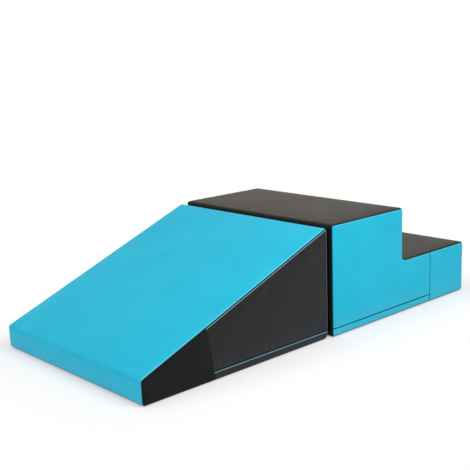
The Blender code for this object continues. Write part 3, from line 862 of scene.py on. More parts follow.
@dataclass
class Panel:
    """One piece of a cover: a sheet of leather cut flat, rolled round the foam and sewn along its edges."""

    node: str
    block: Block
    face: Face
    cut: Cut
    seams: tuple[SeamLine, ...]
    finish: Finish
    slot: str
    swell: float
    softness: float = 0.35 * MM
    thickness: float = 1.0 * MM
    lift: Array | None = None
    lift_pattern: Pattern | None = None

    def surface(self, flat: Array) -> tuple[Array, Array, list[tuple[Seam, Array, Array]]]:
        """Rolls pattern points on to the block and measures their seams.

        Args:
            flat: rows of pattern points.

        Returns:
            The points, the way the surface faces, and each seam's kind, distances and places.
        """
        measured = [(seam.kind, *seam.measure(flat)) for seam in self.seams]
        if self.face is Face.ACROSS:
            point, facing = self.block.across(flat)
        else:
            point, facing, left, place = self.block.beside(flat, self.face)
            measured.append((Seam.BLOCK_EDGE, left, place))
        return point, facing, measured

    def swell_at(self, pattern: Pattern, used: Array, nearest: Array) -> Array:
        """Gives how far the stuffing pushes the panel out.

        That is the cloth's own lift where it was simulated, read by cubics, and otherwise the swell times
        a smooth step of the distance from the nearest seam.

        Args:
            pattern: the fine pattern.
            used: the numbers of its used points.
            nearest: each used point's distance from the nearest seam.

        Returns:
            The lift at each used point.
        """
        if self.lift is not None:
            along = resample(self.lift, self.lift_pattern.across, pattern.across)
            both = resample(along.T, self.lift_pattern.up, pattern.up).T
            return both.ravel()[used]
        share = np.clip(nearest / SWELL_INSET, 0, 1)
        return self.swell * share * (2 - share)

    def build(self) -> Piece:
        """Makes the panel: base surface, plus swell, softness and puckers, less the rolls into its seams.

        Returns:
            The closed shell, riding on its block and standing for its node.
        """
        pattern = self.cut(PANEL_STEP)
        used, quads = grid_faces(pattern.keep)
        flat = pattern.flat.reshape(-1, 2)[used]
        point, facing, seams = self.surface(flat)
        nearest = np.min([distance for _, distance, _ in seams], axis=0)
        lift = self.swell_at(pattern, used, np.maximum(nearest, 0))
        lift += soften(point, self.softness) * np.clip(nearest / SOFT_INSET, SOFT_AT_SEAM, 1)
        sunk = np.zeros(len(flat))
        for kind, distance, along in seams:
            edge = kind.value
            waves = edge.pucker * pucker_wave(along) * np.exp(-np.maximum(distance, 0) / PUCKER_REACH)
            lift += waves * np.clip(point[:, 2] / SOFT_INSET, 0, 1) * (self.softness > 0)
            sunk += edge.depth(distance) ** 2
        edges = [distance for kind, distance, _ in seams if kind is Seam.BLOCK_EDGE]
        lift -= np.sqrt(sunk) + self.block.fall(np.min(edges, axis=0))
        # Distance to the rolled edges and the zip's lower lip, where the painted highlight goes; faces of the
        # other kind and points near the floor get none.
        highlight_from_edge = np.min(edges + [distance for kind, distance, _ in seams if kind is Seam.ZIP_LIP], axis=0)
        plain = facing[:, 2] > UPRIGHT_BELOW if self.finish.pale_upright else facing[:, 2] < LEVEL_ABOVE
        highlight_from_edge = np.where(plain | (point[:, 2] < FLOOR_EDGE), SWELL_INSET, highlight_from_edge)
        quads = self.outward(point, facing, quads)
        place, out = self.block.placed(point), self.block.turned(facing)
        outer = place + out * lift[:, None]
        inner = outer - out * self.thickness
        outer[:, 2] = np.maximum(outer[:, 2], 0)
        points, faces = shell(outer, inner, quads)
        piece = new_mesh(f"{self.node}_cover", points, faces, np.vstack((flat, flat)))
        set_values(piece, SEAM_NAME, np.tile(nearest, 2))
        set_values(piece, HIGHLIGHT_NAME, np.tile(highlight_from_edge, 2))
        return carried(piece, self.block.name, self.slot, self.finish, self.node)

    def outward(self, point: Array, facing: Array, quads: Array) -> Array:
        """Turns the quads round if they look inwards, by the sign of their normals along facing."""
        first = point[quads[:, 1]] - point[quads[:, 0]]
        second = point[quads[:, 3]] - point[quads[:, 0]]
        looks = (np.cross(first, second) * facing[quads[:, 0]]).sum()
        return quads if looks > 0 else quads[:, ::-1]


SWELL_INSET = 60 * MM
# The slow unevenness fades within this distance of a seam, to this share.
SOFT_INSET = 12 * MM
SOFT_AT_SEAM = 0.15
PANEL_STEP = 3.2 * MM
# No painted highlight below this height.
FLOOR_EDGE = 10 * MM
# The upward share of a surface's direction that parts the tops from the sides, which decides where the
# painted highlight goes.
LEVEL_ABOVE = 0.15
UPRIGHT_BELOW = 0.6


def carried(piece: Piece, body: str, slot: str, finish: Finish, *nodes: str) -> Piece:
    """Sets a piece on its body, names its finish and hides the nodes that it stands for.

    Args:
        piece: the new piece.
        body: the body that it rides on.
        slot: the record's material slot; not used.
        finish: what dresses it.
        nodes: the nodes that it replaces.

    Returns:
        The same piece.
    """
    piece.data.materials.append(finish.material())
    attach(piece, body)
    if nodes:
        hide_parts(*nodes)
    return piece


# Covers


def rectangle(low: tuple, high: tuple) -> Cut:
    """Cuts a plain rectangle: every crossing of its lines is a pattern point.

    Args:
        low: its lowest pattern place.
        high: its highest.

    Returns:
        The function that makes the pattern at a spacing.
    """

    def cut(step: float) -> Pattern:
        """Lays the grid out at this spacing."""
        across = spaced(high[0] - low[0], step)
        up = spaced(high[1] - low[1], step)
        flat = crossings(across + low[0], up + low[1])
        return Pattern(across, up, flat, np.ones((len(across) - 1, len(up) - 1), bool))

    return cut


def four_sided(bottom: Curve, top: Curve, left: Curve, right: Curve) -> Cut:
    """Cuts a panel with four sides, filled between its curves.

    Args:
        bottom: from the left corner to the right one.
        top: the same at the top.
        left: from the bottom corner to the top one.
        right: the same on the right.

    Returns:
        The function that makes the pattern at a spacing.
    """
    ends = np.array((0.0, 1.0))
    width = max(np.hypot(*np.diff(side(ends), axis=0)[0]) for side in (bottom, top))
    height = max(np.hypot(*np.diff(side(ends), axis=0)[0]) for side in (left, right))

    def cut(step: float) -> Pattern:
        """Lays the grid out at this spacing."""
        across, up = spaced(width, step), spaced(height, step)
        flat = between(bottom, top, left, right, across / width, up / height)
        return Pattern(across, up, flat, np.ones((len(across) - 1, len(up) - 1), bool))

    return cut


@dataclass
class Cover:
    """A block's cover: the panels of leather and the anti-slip base, cut to the block's outline.

    Each side has a main panel, an end past the flat seam, and a band under the zip. end_word names that
    end, and band_seam is the kind of hem that the band has at the zip.
    """

    block: Block
    seam_foot: float
    seam_lean: float
    seam_top: float
    end_word: str
    end_swell: float
    side_finish: Finish
    end_finish: Finish
    side_slot: str
    band_seam: Seam
    main_swell: float = 2.4 * MM
    meeting_swell: float = 0.2 * MM
    zip_height: float = 20 * MM
    hem: float = 0.8 * MM

    def edge(self, start: float, end: float) -> Curve:
        """Gives the seam along the block's edge between two places as a curve on a side's pattern."""
        profile, depth = self.block.profile, self.block.seam_depth()
        return lambda share: profile.at(start + np.asarray(share) * (end - start), depth)[0]

    def corner(self, place: float) -> Array:
        """Gives a side pattern's point on the block's edge."""
        return self.block.profile.at(place, self.block.seam_depth())[0][0]

    def zip_places(self) -> tuple[float, float]:
        """Gives where the zip's two hems cross the meeting face's edge, as places along the outline."""
        profile = self.block.profile
        return tuple(
            profile.crossing(profile.middles[-1], profile.length - MM, self.block.seam_depth(),
                             (0, self.zip_height + gap), (1, 0))
            for gap in (self.hem, -self.hem))

    def leaning(self, height: float) -> Array:
        """Gives the flat seam's point at a height: its foot plus the height times the lean's tangent."""
        return np.array((self.seam_foot + height * math.tan(self.seam_lean), height))

    def flat_seam(self) -> tuple[Array, Array]:
        """Gives the ends of the flat seam's threads."""
        return self.leaning(2 * MM), self.leaning(self.seam_top)

    def cross_panel(self, word: str, start: float, end: float, kinds: tuple[Seam, Seam], finish: Finish,
                    slot: str, swell: float, softness: float = 0.35 * MM) -> Panel:
        """Cuts a panel that runs the block's whole width.

        Args:
            word: names it within its block.
            start: its first place along the outline.
            end: its last.
            kinds: the seams at those two places.
            finish: what dresses it.
            slot: the record's material slot.
            swell: how far its middle rises.
            softness: how uneven it lies.

        Returns:
            The panel.
        """
        half = self.block.half_pattern()
        lines = [SeamLine(Seam.BLOCK_EDGE, (0, -way * half), (0, way)) for way in (1, -1)]
        for place, kind, way in ((start, kinds[0], 1), (end, kinds[1], -1)):
            lines.append(SeamLine(kind, (place - way * kind.value.setback, 0), (way, 0)))
        return Panel(f"{self.block.prefix}_{word}", self.block, Face.ACROSS,
                     rectangle((start, -half), (end, half)), tuple(lines), finish, slot, swell, softness)

    def top_panels(self) -> list[Panel]:
        """Cuts the panels over the block, from the meeting face to the floor. Each cover has its own."""
        raise NotImplementedError

    def main_cut(self, upper: float, top: float) -> Cut:
        """Cuts the side's main panel. Each cover has its own.

        Args:
            upper: the upper hem's place on the meeting face's edge.
            top: where the flat seam meets the block's edge above.

        Returns:
            The function that makes the pattern at a spacing.
        """
        raise NotImplementedError

    def panels(self) -> list[Panel]:
        """Cuts every panel of this cover."""
        middles, end = self.block.profile.middles, self.block.profile.length
        upper, lower = self.zip_places()
        edge, black = Seam.BLOCK_EDGE, (BLACK_PAINTED_DARKER, "black_vinyl")
        found = self.top_panels() + [
            self.cross_panel("meeting_panel", middles[-1], upper, (edge, Seam.ZIP_HEM), *black,
                             self.meeting_swell, 0.0),
            self.cross_panel("meeting_band", lower, end, (self.band_seam, edge), *black, 0.0, 0.0),
            self.cross_panel("base_panel", 0.0, middles[1], (edge, edge), BASE_CLOTH, "anti_slip_cloth",
                             0.0, 0.0),
        ]
        return found + [panel for face in (Face.NEAR, Face.FAR) for panel in self.sides(face)]

    def sides(self, face: Face) -> list[Panel]:
        """Cuts a side's panels: the main one, the end past the flat seam, and the band under the zip."""
        profile, depth = self.block.profile, self.block.seam_depth()
        back, toe, fold, after = profile.middles[:4]
        way = (math.sin(self.seam_lean), math.cos(self.seam_lean))
        through = (self.seam_foot, 0)
        top = profile.crossing(fold, after, depth, through, way)
        foot = profile.crossing(back, toe, depth, through, way)
        upper, lower = self.zip_places()
        under = self.leaning(self.zip_height - self.hem)
        end_cut = four_sided(self.edge(foot, toe), self.edge(top, fold),
                             straight(self.corner(foot), self.corner(top)), self.edge(toe, fold))
        band = four_sided(self.edge(back, foot), straight(self.corner(lower), under),
                          self.edge(profile.length, lower), straight(self.corner(foot), under))
        inward = SeamLine(Seam.FLAT_SEAM, through, (-way[1], way[0]))
        onward = SeamLine(Seam.FLAT_SEAM, through, (way[1], -way[0]))
        zip_up = SeamLine(Seam.ZIP_HEM, (0, self.zip_height), (0, 1))
        zip_down = SeamLine(self.band_seam, (0, self.zip_height), (0, -1))
        return [
            Panel(f"{self.block.prefix}_side_{word}_{SIDE_WORDS[face]}", self.block, face, cut, seams, finish,
                  self.side_slot, swell)
            for word, cut, seams, finish, swell in (
                ("main", self.main_cut(upper, top), (zip_up, inward), self.side_finish, self.main_swell),
                (self.end_word, end_cut, (onward,), self.end_finish, self.end_swell),
                ("band", band, (zip_down, inward), self.side_finish, 0.0))]


SIDE_WORDS = {Face.NEAR: "near", Face.FAR: "far"}


@dataclass
class WedgeCover(Cover):
    """The ramp block's cover: a turquoise ramp panel, black sides with a leaning seam, and a black back."""

    seam_foot: float = 329 * MM
    seam_lean: float = math.radians(9.8)
    seam_top: float = 112 * MM
    end_word: str = "toe"
    end_swell: float = 1.2 * MM
    side_finish: Finish = BLACK
    end_finish: Finish = BLACK_PAINTED_DARKER
    side_slot: str = "black_vinyl"
    band_seam: Seam = Seam.ZIP_LIP
    ramp_swell: float = 2.6 * MM

    def top_panels(self) -> list[Panel]:
        """Cuts the ramp panel, which folds down over the toe."""
        foot, _, ridge = self.block.profile.middles[1:4]
        return [self.cross_panel("ramp_panel", foot, ridge, (Seam.BLOCK_EDGE, Seam.BLOCK_EDGE), TURQUOISE,
                                 "turquoise_vinyl", self.ramp_swell)]

    def main_cut(self, upper: float, top: float) -> Cut:
        """Cuts the side's main panel with four sides, as Cover.main_cut says."""
        ridge = self.block.profile.middles[3]
        hem = self.leaning(self.zip_height + self.hem)
        return four_sided(straight(self.corner(upper), hem), self.edge(ridge, top), self.edge(upper, ridge),
                          straight(hem, self.corner(top)))


@dataclass
class StepCover(Cover):
    """The step block's cover: turquoise sides with an upright seam, and black treads, riser and back."""

    seam_foot: float = 357 * MM
    seam_lean: float = 0.0
    seam_top: float = 125 * MM
    end_word: str = "end"
    end_swell: float = 1.8 * MM
    side_finish: Finish = TURQUOISE
    end_finish: Finish = TURQUOISE
    side_slot: str = "turquoise_vinyl"
    band_seam: Seam = Seam.ZIP_HEM
    top_swell: float = 2.4 * MM
    tread_swell: float = 2.0 * MM

    def top_panels(self) -> list[Panel]:
        """Cuts the high tread, the riser with the low tread, and the end."""
        foot, low, _, high, back = self.block.profile.middles[1:6]
        kinds = (Seam.BLOCK_EDGE, Seam.BLOCK_EDGE)
        return [self.cross_panel(word, start, end, kinds, BLACK, "black_vinyl", swell)
                for word, start, end, swell in (("top_panel", high, back, self.top_swell),
                                                ("riser_and_tread_panel", low, high, self.tread_swell),
                                                ("end_panel", foot, low, self.tread_swell))]

    def main_cut(self, upper: float, top: float) -> Cut:
        """Cuts the side's main panel, an L in three four-sided parts that share their lines.

        It takes and gives what Cover.main_cut says.
        """
        profile, depth = self.block.profile, self.block.seam_depth()
        notch, high, back = profile.middles[3:6]
        hollow = self.corner(notch)
        level = hollow[1]
        shelf = profile.crossing(back, upper, depth, (0, level), (1, 0))
        hem = self.zip_height + self.hem
        under, end = np.array((hollow[0], hem)), self.leaning(hem)
        widths = (hollow[0], self.seam_foot - hollow[0])
        heights = (level - hem, self.corner(high)[1] - level)
        upright = straight(under, hollow)
        ledge = straight(self.corner(shelf), hollow)

        def cut(step: float) -> Pattern:
            """Lays the three parts' grids into one, with the missing corner's cells left out."""
            across, up = ((spaced(first, step), spaced(second, step, start=False))
                          for first, second in (widths, heights))
            share = [line / line[-1] for line in (*across, *up)]
            low = between(straight(self.corner(upper), under), ledge, self.edge(upper, shelf), upright,
                          share[0], share[2])
            beside = between(straight(under, end), self.edge(notch, top), upright,
                             straight(end, self.corner(top)), share[1], share[2])
            above = between(ledge, self.edge(back, high), self.edge(shelf, back), self.edge(notch, high),
                            share[0], share[3])
            wide, tall = low.shape[:2]
            flat = np.zeros((wide + len(across[1]) - 1, tall + len(up[1]) - 1, 2))
            flat[:wide, :tall] = low
            flat[wide - 1:, :tall] = beside
            flat[:wide, tall - 1:] = above
            keep = np.ones((flat.shape[0] - 1, flat.shape[1] - 1), bool)
            keep[wide - 1:, tall - 1:] = False
            return Pattern(np.append(across[0], across[1][1:] + widths[0]),
                           np.append(up[0], up[1][1:] + heights[0]), flat, keep)

        return cut


@dataclass(frozen=True)
class AntiSlipCloth(Finish):
    """Polyester cloth with soft PVC dots on it: grips the floor, dark grey, plain weave between the dots."""

    name: str = "anti_slip_cloth_dotted"
    colour: str = "3A3B3D"
    dot: str = "222325"
    pitch: float = 6 * MM
    thread: float = 1.1775 * MM
    dot_edge: tuple[float, float] = (0.2, 0.26)
    relief: float = 0.3 * MM
    roughness: float = 0.85

    def draw(self, tree: Tree) -> None:
        """Draws a plain weave, and round dots in rows that stand over it."""
        place = object_place(tree)
        dots = add_node(tree, "ShaderNodeTexVoronoi", {
            "Vector": place, "Scale": 1 / self.pitch, "Randomness": 0.0})
        round_dot = add_node(tree, "ShaderNodeMapRange", {
            "Value": dots.outputs["Distance"], "From Min": self.dot_edge[0], "From Max": self.dot_edge[1],
            "To Min": 1.0, "To Max": 0.0})
        raised = add_node(tree, "ShaderNodeMath", {
            0: weave(tree, place, self.thread), 1: round_dot.outputs[0]}, operation="MAXIMUM")
        colour = add_node(tree, "ShaderNodeMix", {
            "Factor": round_dot.outputs[0], "A": linear(self.colour), "B": linear(self.dot)},
            data_type="RGBA")
        bump = add_node(tree, "ShaderNodeBump", {"Height": raised.outputs[0], "Distance": self.relief})
        finish_tree(tree, {"Base Color": colour.outputs["Result"], "Roughness": self.roughness,
                           "Normal": bump.outputs[0]})


BASE_CLOTH = AntiSlipCloth()


# Cloth


@dataclass(frozen=True)
class Stuffing:
    """How the foam fills the covers: each panel is a cloth, held along its seams and pushed from inside."""

    step: float = 11 * MM
    pressure: float = 4.0
    frames: int = 20
    slack: float = 0.004
    hold: float = 6.6 * MM
    stretch: float = 30
    bend: float = 2
    group: str = "sewn"

    def hang(self, panel: Panel) -> tuple[Piece, Array, Array]:
        """Makes a panel's cloth: the same surface on a wider grid, pinned at its free edges and its folds.

        Args:
            panel: the panel to fill.

        Returns:
            The cloth object, the numbers of its grid points, and the way that each faces.
        """
        pattern = panel.cut(self.step)
        used, quads = grid_faces(pattern.keep)
        flat = pattern.flat.reshape(-1, 2)[used]
        point, facing, _ = panel.surface(flat)
        quads = panel.outward(point, facing, quads)
        cloth = new_mesh(f"{panel.node}_cloth", panel.block.placed(point), quads)
        held = np.unique(free_edges(quads))
        if panel.face is Face.ACROSS:
            away = np.abs(flat[:, :1] - np.array(panel.block.profile.middles)).min(1)
            held = np.union1d(held, np.nonzero(away < self.hold)[0])
        cloth.vertex_groups.new(name=self.group).add(held.tolist(), 1.0, "REPLACE")
        stuffing = cloth.modifiers.new("stuffing", "CLOTH")
        stuffing.collision_settings.use_collision = False
        settings = stuffing.settings
        settings.vertex_group_mass = self.group
        settings.use_pressure = True
        settings.uniform_pressure_force = self.pressure
        settings.effector_weights.gravity = 0
        settings.tension_stiffness = self.stretch
        settings.compression_stiffness = self.stretch
        settings.bending_stiffness = self.bend
        settings.shrink_min = -self.slack
        panel.lift_pattern = pattern
        return cloth, used, panel.block.turned(facing)

    def fill(self, panels: list[Panel]) -> None:
        """Steps all the cloths together and keeps how far each point rises along its own facing.

        The rise is held under the panel's swell: swell times the hyperbolic tangent of half the rise over
        the swell.

        Args:
            panels: every panel; those that don't swell are left alone.
        """
        hung = [(panel, *self.hang(panel)) for panel in panels if panel.swell > MM]
        scene = bpy.context.scene
        for number in range(1, self.frames + 1):
            scene.frame_set(number)
        graph = bpy.context.evaluated_depsgraph_get()
        for panel, cloth, used, facing in hung:
            start, place = np.empty((2, len(used) * 3), np.float32)
            cloth.data.vertices.foreach_get("co", start)
            cloth.evaluated_get(graph).data.vertices.foreach_get("co", place)
            rise = np.maximum(((place - start).reshape(-1, 3) * facing).sum(1), 0)
            log.info("%s rises %.2f mm", cloth.name, rise.max() / MM)
            grid = np.zeros(panel.lift_pattern.flat.shape[:2])
            grid.ravel()[used] = panel.swell * np.tanh(rise / panel.swell / 2)
            panel.lift = grid
        scene.frame_set(1)
        for _, cloth, _, _ in hung:
            mesh = cloth.data
            bpy.data.objects.remove(cloth)
            bpy.data.meshes.remove(mesh)


# Foam


def tube_faces(rings: int, sides: int) -> Array:
    """Gives the quads of a tube whose rings follow each other, anticlockwise seen from its end."""
    number = np.arange(rings * sides).reshape(rings, sides)
    after = np.roll(number, -1, axis=1)
    return np.stack((number[:-1], after[:-1], after[1:], number[1:]), -1).reshape(-1, 4)


def closed_stack(rings: Array) -> tuple[Array, list[Array]]:
    """Skins a stack of closed rings and closes both ends with a pole in the middle.

    Args:
        rings: a grid of points, one row for each ring, anticlockwise seen from the last ring's end.

    Returns:
        The points, and the faces as quads and triangles.
    """
    levels, count = rings.shape[:2]
    number = np.arange(levels * count).reshape(levels, count)
    after = np.roll(number, -1, axis=1)
    foot = np.stack((after[0], number[0], np.full(count, levels * count)), -1)
    head = np.stack((number[-1], after[-1], np.full(count, levels * count + 1)), -1)
    poles = np.vstack((rings[0].mean(0), rings[-1].mean(0)))
    return np.vstack((rings.reshape(-1, 3), poles)), [tube_faces(levels, count), np.vstack((foot, head))]


@dataclass
class FoamCore:
    """A block's core: six boards of foam glued face to face, with a channel for the zip in the lowest."""

    block: Block
    clearance: float = 3.3 * MM
    channel_depth: float = 4.5 * MM
    channel_half: float = 4.6 * MM
    zip_height: float = 20 * MM
    channel_wall: float = 0.3 * MM
    glue_edge: float = 0.5 * MM
    boards: int = 6
    near_ends: tuple[float, ...] = (0, 0.3, 1, 2, 3.2, 4.6, 6.5, 9, 13, 18, 25)
    near_rings: int = 6
    middle_rings: int = 7
    long_points: int = 42
    end_points: int = 26
    crowding: float = 2.6
    sampling: tuple[int, int, int] = (900, 90, 1500)

    def reach(self, heights: Array, upper: bool) -> tuple[Array, Array]:
        """Reads a board's lowest and highest x at each height off the outline moved inwards.

        Args:
            heights: above the floor.
            upper: whether the board stands above the low tread, if the block has one.

        Returns:
            The lowest x and the highest x.
        """
        profile = self.block.profile
        middles, arc = profile.middles, profile.spans[0].length
        face, corner, front_points = self.sampling
        back = np.append(np.linspace(middles[-1], profile.length, face), np.linspace(0, arc, corner))
        if len(middles) == 4:
            front = (middles[1] - arc, middles[3])
        else:
            front = (middles[-3], middles[-2]) if upper else (middles[1] - arc, middles[2])
        low, _ = profile.at(back, self.clearance)
        high, _ = profile.at(np.linspace(*front, front_points), self.clearance)
        rising = np.maximum.accumulate(high[:, 1])
        return np.interp(heights, low[::-1, 1], low[::-1, 0]), np.interp(heights, rising, high[:, 0])

    def levels(self, low: float, high: float) -> Array:
        """Gives the heights of a board's rings: close together at its edges and at the channel's walls."""
        outside = self.channel_half + self.channel_wall
        gate = self.zip_height + np.array((-outside, -self.channel_half, self.channel_half, outside))
        near = np.array(self.near_ends[:self.near_rings]) * MM
        middle = np.linspace(low + near[-1], high - near[-1], self.middle_rings)[1:-1]
        return np.sort(np.concatenate((low + near, middle, gate[(gate > low) & (gate < high)], high - near)))

    def ring(self, west: Array, east: Array, heights: Array, drawn: Array, depth: Array) -> Array:
        """Lays a closed ring at each height.

        The two sides run from west to east at the half width that the block's rolled edges leave: the
        flat half plus the root of the roll less the clearance, squared, less the distance past the
        outline moved inwards, squared. The two ends are straight between them.

        Args:
            west: lowest x of each ring.
            east: highest x.
            heights: of the rings.
            drawn: how far each ring is drawn in at its sides.
            depth: the channel's depth at each ring.

        Returns:
            The grid of points.
        """
        near = np.array(self.near_ends) * MM
        scale = np.minimum(1, (east - west) / (self.crowding * near[-1]))[:, None]
        inner = np.linspace(0, 1, self.long_points)[None, 1:-1]
        first, last = west[:, None] + near * scale, east[:, None] - near[::-1] * scale
        x = np.hstack((first, first[:, -1:] + (last[:, :1] - first[:, -1:]) * inner, last))
        z = np.broadcast_to(heights[:, None], x.shape)
        past = self.block.profile.nearest(np.column_stack((x.ravel(), z.ravel())), self.block.roll)[0]
        rest = (self.block.roll - self.clearance) ** 2 - np.maximum(past, 0) ** 2
        half = self.block.half - self.block.roll + np.sqrt(np.maximum(rest, 0)).reshape(x.shape)
        half = half - drawn[:, None] - depth[:, None] * (x < self.block.zip_end)
        share = np.linspace(-1, 1, self.end_points)[None, 1:-1]
        ends = [(side[:, None] + 0 * share, half[:, number:number + 1 or None] * way * share)
                for side, number, way in ((east, -1, 1), (west, 0, -1))]
        shape_x = np.hstack((x, ends[0][0], x[:, ::-1], ends[1][0]))
        shape_y = np.hstack((-half, ends[0][1], half[:, ::-1], ends[1][1]))
        return np.dstack((shape_x, shape_y, np.broadcast_to(heights[:, None], shape_x.shape)))

    def build(self) -> list[Piece]:
        """Makes the boards, stacks of rings between their nodes' own levels."""
        made = []
        crest = max(corner.z for corner in self.block.profile.corners) - self.clearance
        for number in range(1, self.boards + 1):
            node = f"{self.block.prefix}_foam_board_{number}"
            low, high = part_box(node)
            heights = self.levels(max(low.z, self.clearance), min(high.z, crest))
            west, east = self.reach(heights, number > self.boards / 2)
            drawn = np.zeros(len(heights))
            drawn[[0, -1]] = self.glue_edge
            depth = self.channel_depth * (np.abs(heights - self.zip_height) < self.channel_half + TINY)
            points, faces = closed_stack(self.ring(west + drawn + depth, east - drawn, heights, drawn, depth))
            piece = new_mesh(f"{node}_cut", self.block.placed(points), faces)
            made.append(carried(piece, self.block.name, "white_foam", FOAM, node))
        return made


# Zips


@dataclass
class Belt:
    """A level path round a block's back: out along the far side, across the meeting face and back.

    It is kept as the path's own line one roll inside the block, with the way out from it, so that a
    point at any depth is that line plus the roll less the depth, times the way out.
    """

    block: Block
    end: float
    nominal: float = 3 * MM
    stations: tuple[Array, Array, Array, Array] = ()

    def __post_init__(self) -> None:
        """Works out the line's corners, the way out at each, and the distances between them."""
        roll, flat = self.block.roll, self.block.half - self.block.roll
        far = self.block.sign(Face.FAR)
        bend = (roll - self.nominal) * QUARTER
        steps = np.cumsum((0, self.end - roll, bend, 2 * flat, bend, self.end - roll))
        x = np.array((self.end, roll, roll, roll, roll, self.end))
        y = far * flat * np.array((1, 1, 1, -1, -1, -1))
        angle = QUARTER * np.array((1, 1, 2, 2, 3, 3))
        self.stations = (steps, x, y, angle)

    def length(self) -> float:
        """Gives the whole distance along the path."""
        return float(self.stations[0][-1])

    def at(self, along: Array, depth: Array, height: Array) -> tuple[Array, Array]:
        """Gives points beside the path, set back where the block's bottom edge is rounded.

        Args:
            along: distances along it.
            depth: how far inside the block's face.
            height: above the floor.

        Returns:
            The points and the way out at each.
        """
        steps, x, y, angle = self.stations
        turn = np.interp(along, steps, angle)
        far = self.block.sign(Face.FAR)
        out = np.stack((np.cos(turn), far * np.sin(turn), np.zeros_like(turn)), -1)
        radius = self.block.profile.corners[0].radius
        short = np.clip(radius - height, 0, radius)
        recess = radius - np.sqrt(radius ** 2 - short ** 2)
        level = np.zeros(turn.shape + (3,))
        level[..., 0] = np.interp(along, steps, x) + recess * -np.minimum(np.cos(turn), 0)
        level[..., 1] = np.interp(along, steps, y)
        level[..., 2] = height
        return level + (self.block.roll - depth)[..., None] * out, out


def tubes(paths: Array, up: Array, radius: float, sides: int) -> tuple[Array, list[Array]]:
    """Makes round tubes along many paths at once, with flat ends.

    A ring lies about each path point, across the path's own direction: cosine times the up direction
    made square to the path, plus sine times the third direction.

    Args:
        paths: for each tube, its rows of points.
        up: the same shape, a direction that isn't along the path.
        radius: of the tubes.
        sides: round each.

    Returns:
        The points, and the faces as quads and end faces.
    """
    tubes_count, rings = paths.shape[:2]
    along = np.gradient(paths, axis=1)
    along /= np.linalg.norm(along, axis=-1, keepdims=True)
    third = np.cross(along, up)
    third /= np.linalg.norm(third, axis=-1, keepdims=True)
    second = np.cross(third, along)
    turn = 2 * math.pi * np.arange(sides) / sides
    ring = np.cos(turn)[:, None] * second[..., None, :] + np.sin(turn)[:, None] * third[..., None, :]
    points = paths[..., None, :] + radius * ring
    size = rings * sides
    quads = tube_faces(rings, sides)
    ends = np.vstack((np.arange(sides)[::-1], size - sides + np.arange(sides)))
    start = np.arange(tubes_count)[:, None, None] * size
    return points.reshape(-1, 3), [(quads + start).reshape(-1, 4), (ends + start).reshape(-1, sides)]


def dressed_copy(node: str, finish: Finish, slot: str, bevel: float) -> Piece:
    """Copies a node's mesh, merges its loose triangles and softens its edges with a Bevel.

    Args:
        node: the node to stand for.
        finish: what dresses it.
        slot: the record's material slot.
        bevel: the width of the softened edges.

    Returns:
        The new piece.
    """
    source = frame["nodes"][node]
    shape = bmesh.new()
    shape.from_mesh(source.data)
    bmesh.ops.remove_doubles(shape, verts=shape.verts, dist=MERGED_WITHIN)
    bmesh.ops.dissolve_limit(shape, angle_limit=FLAT_WITHIN, verts=shape.verts, edges=shape.edges)
    mesh = bpy.data.meshes.new(f"{node}_dressed")
    shape.to_mesh(mesh)
    shape.free()
    piece = linked(f"{node}_dressed", mesh)
    bevelled = piece.modifiers.new("soft edges", "BEVEL")
    bevelled.width = bevel
    bevelled.segments = 2
    bevelled.limit_method = "ANGLE"
    mesh.shade_smooth()
    return carried(piece, body_of(source)[0], slot, finish, node)


MERGED_WITHIN = 0.002 * MM
FLAT_WITHIN = math.radians(1)


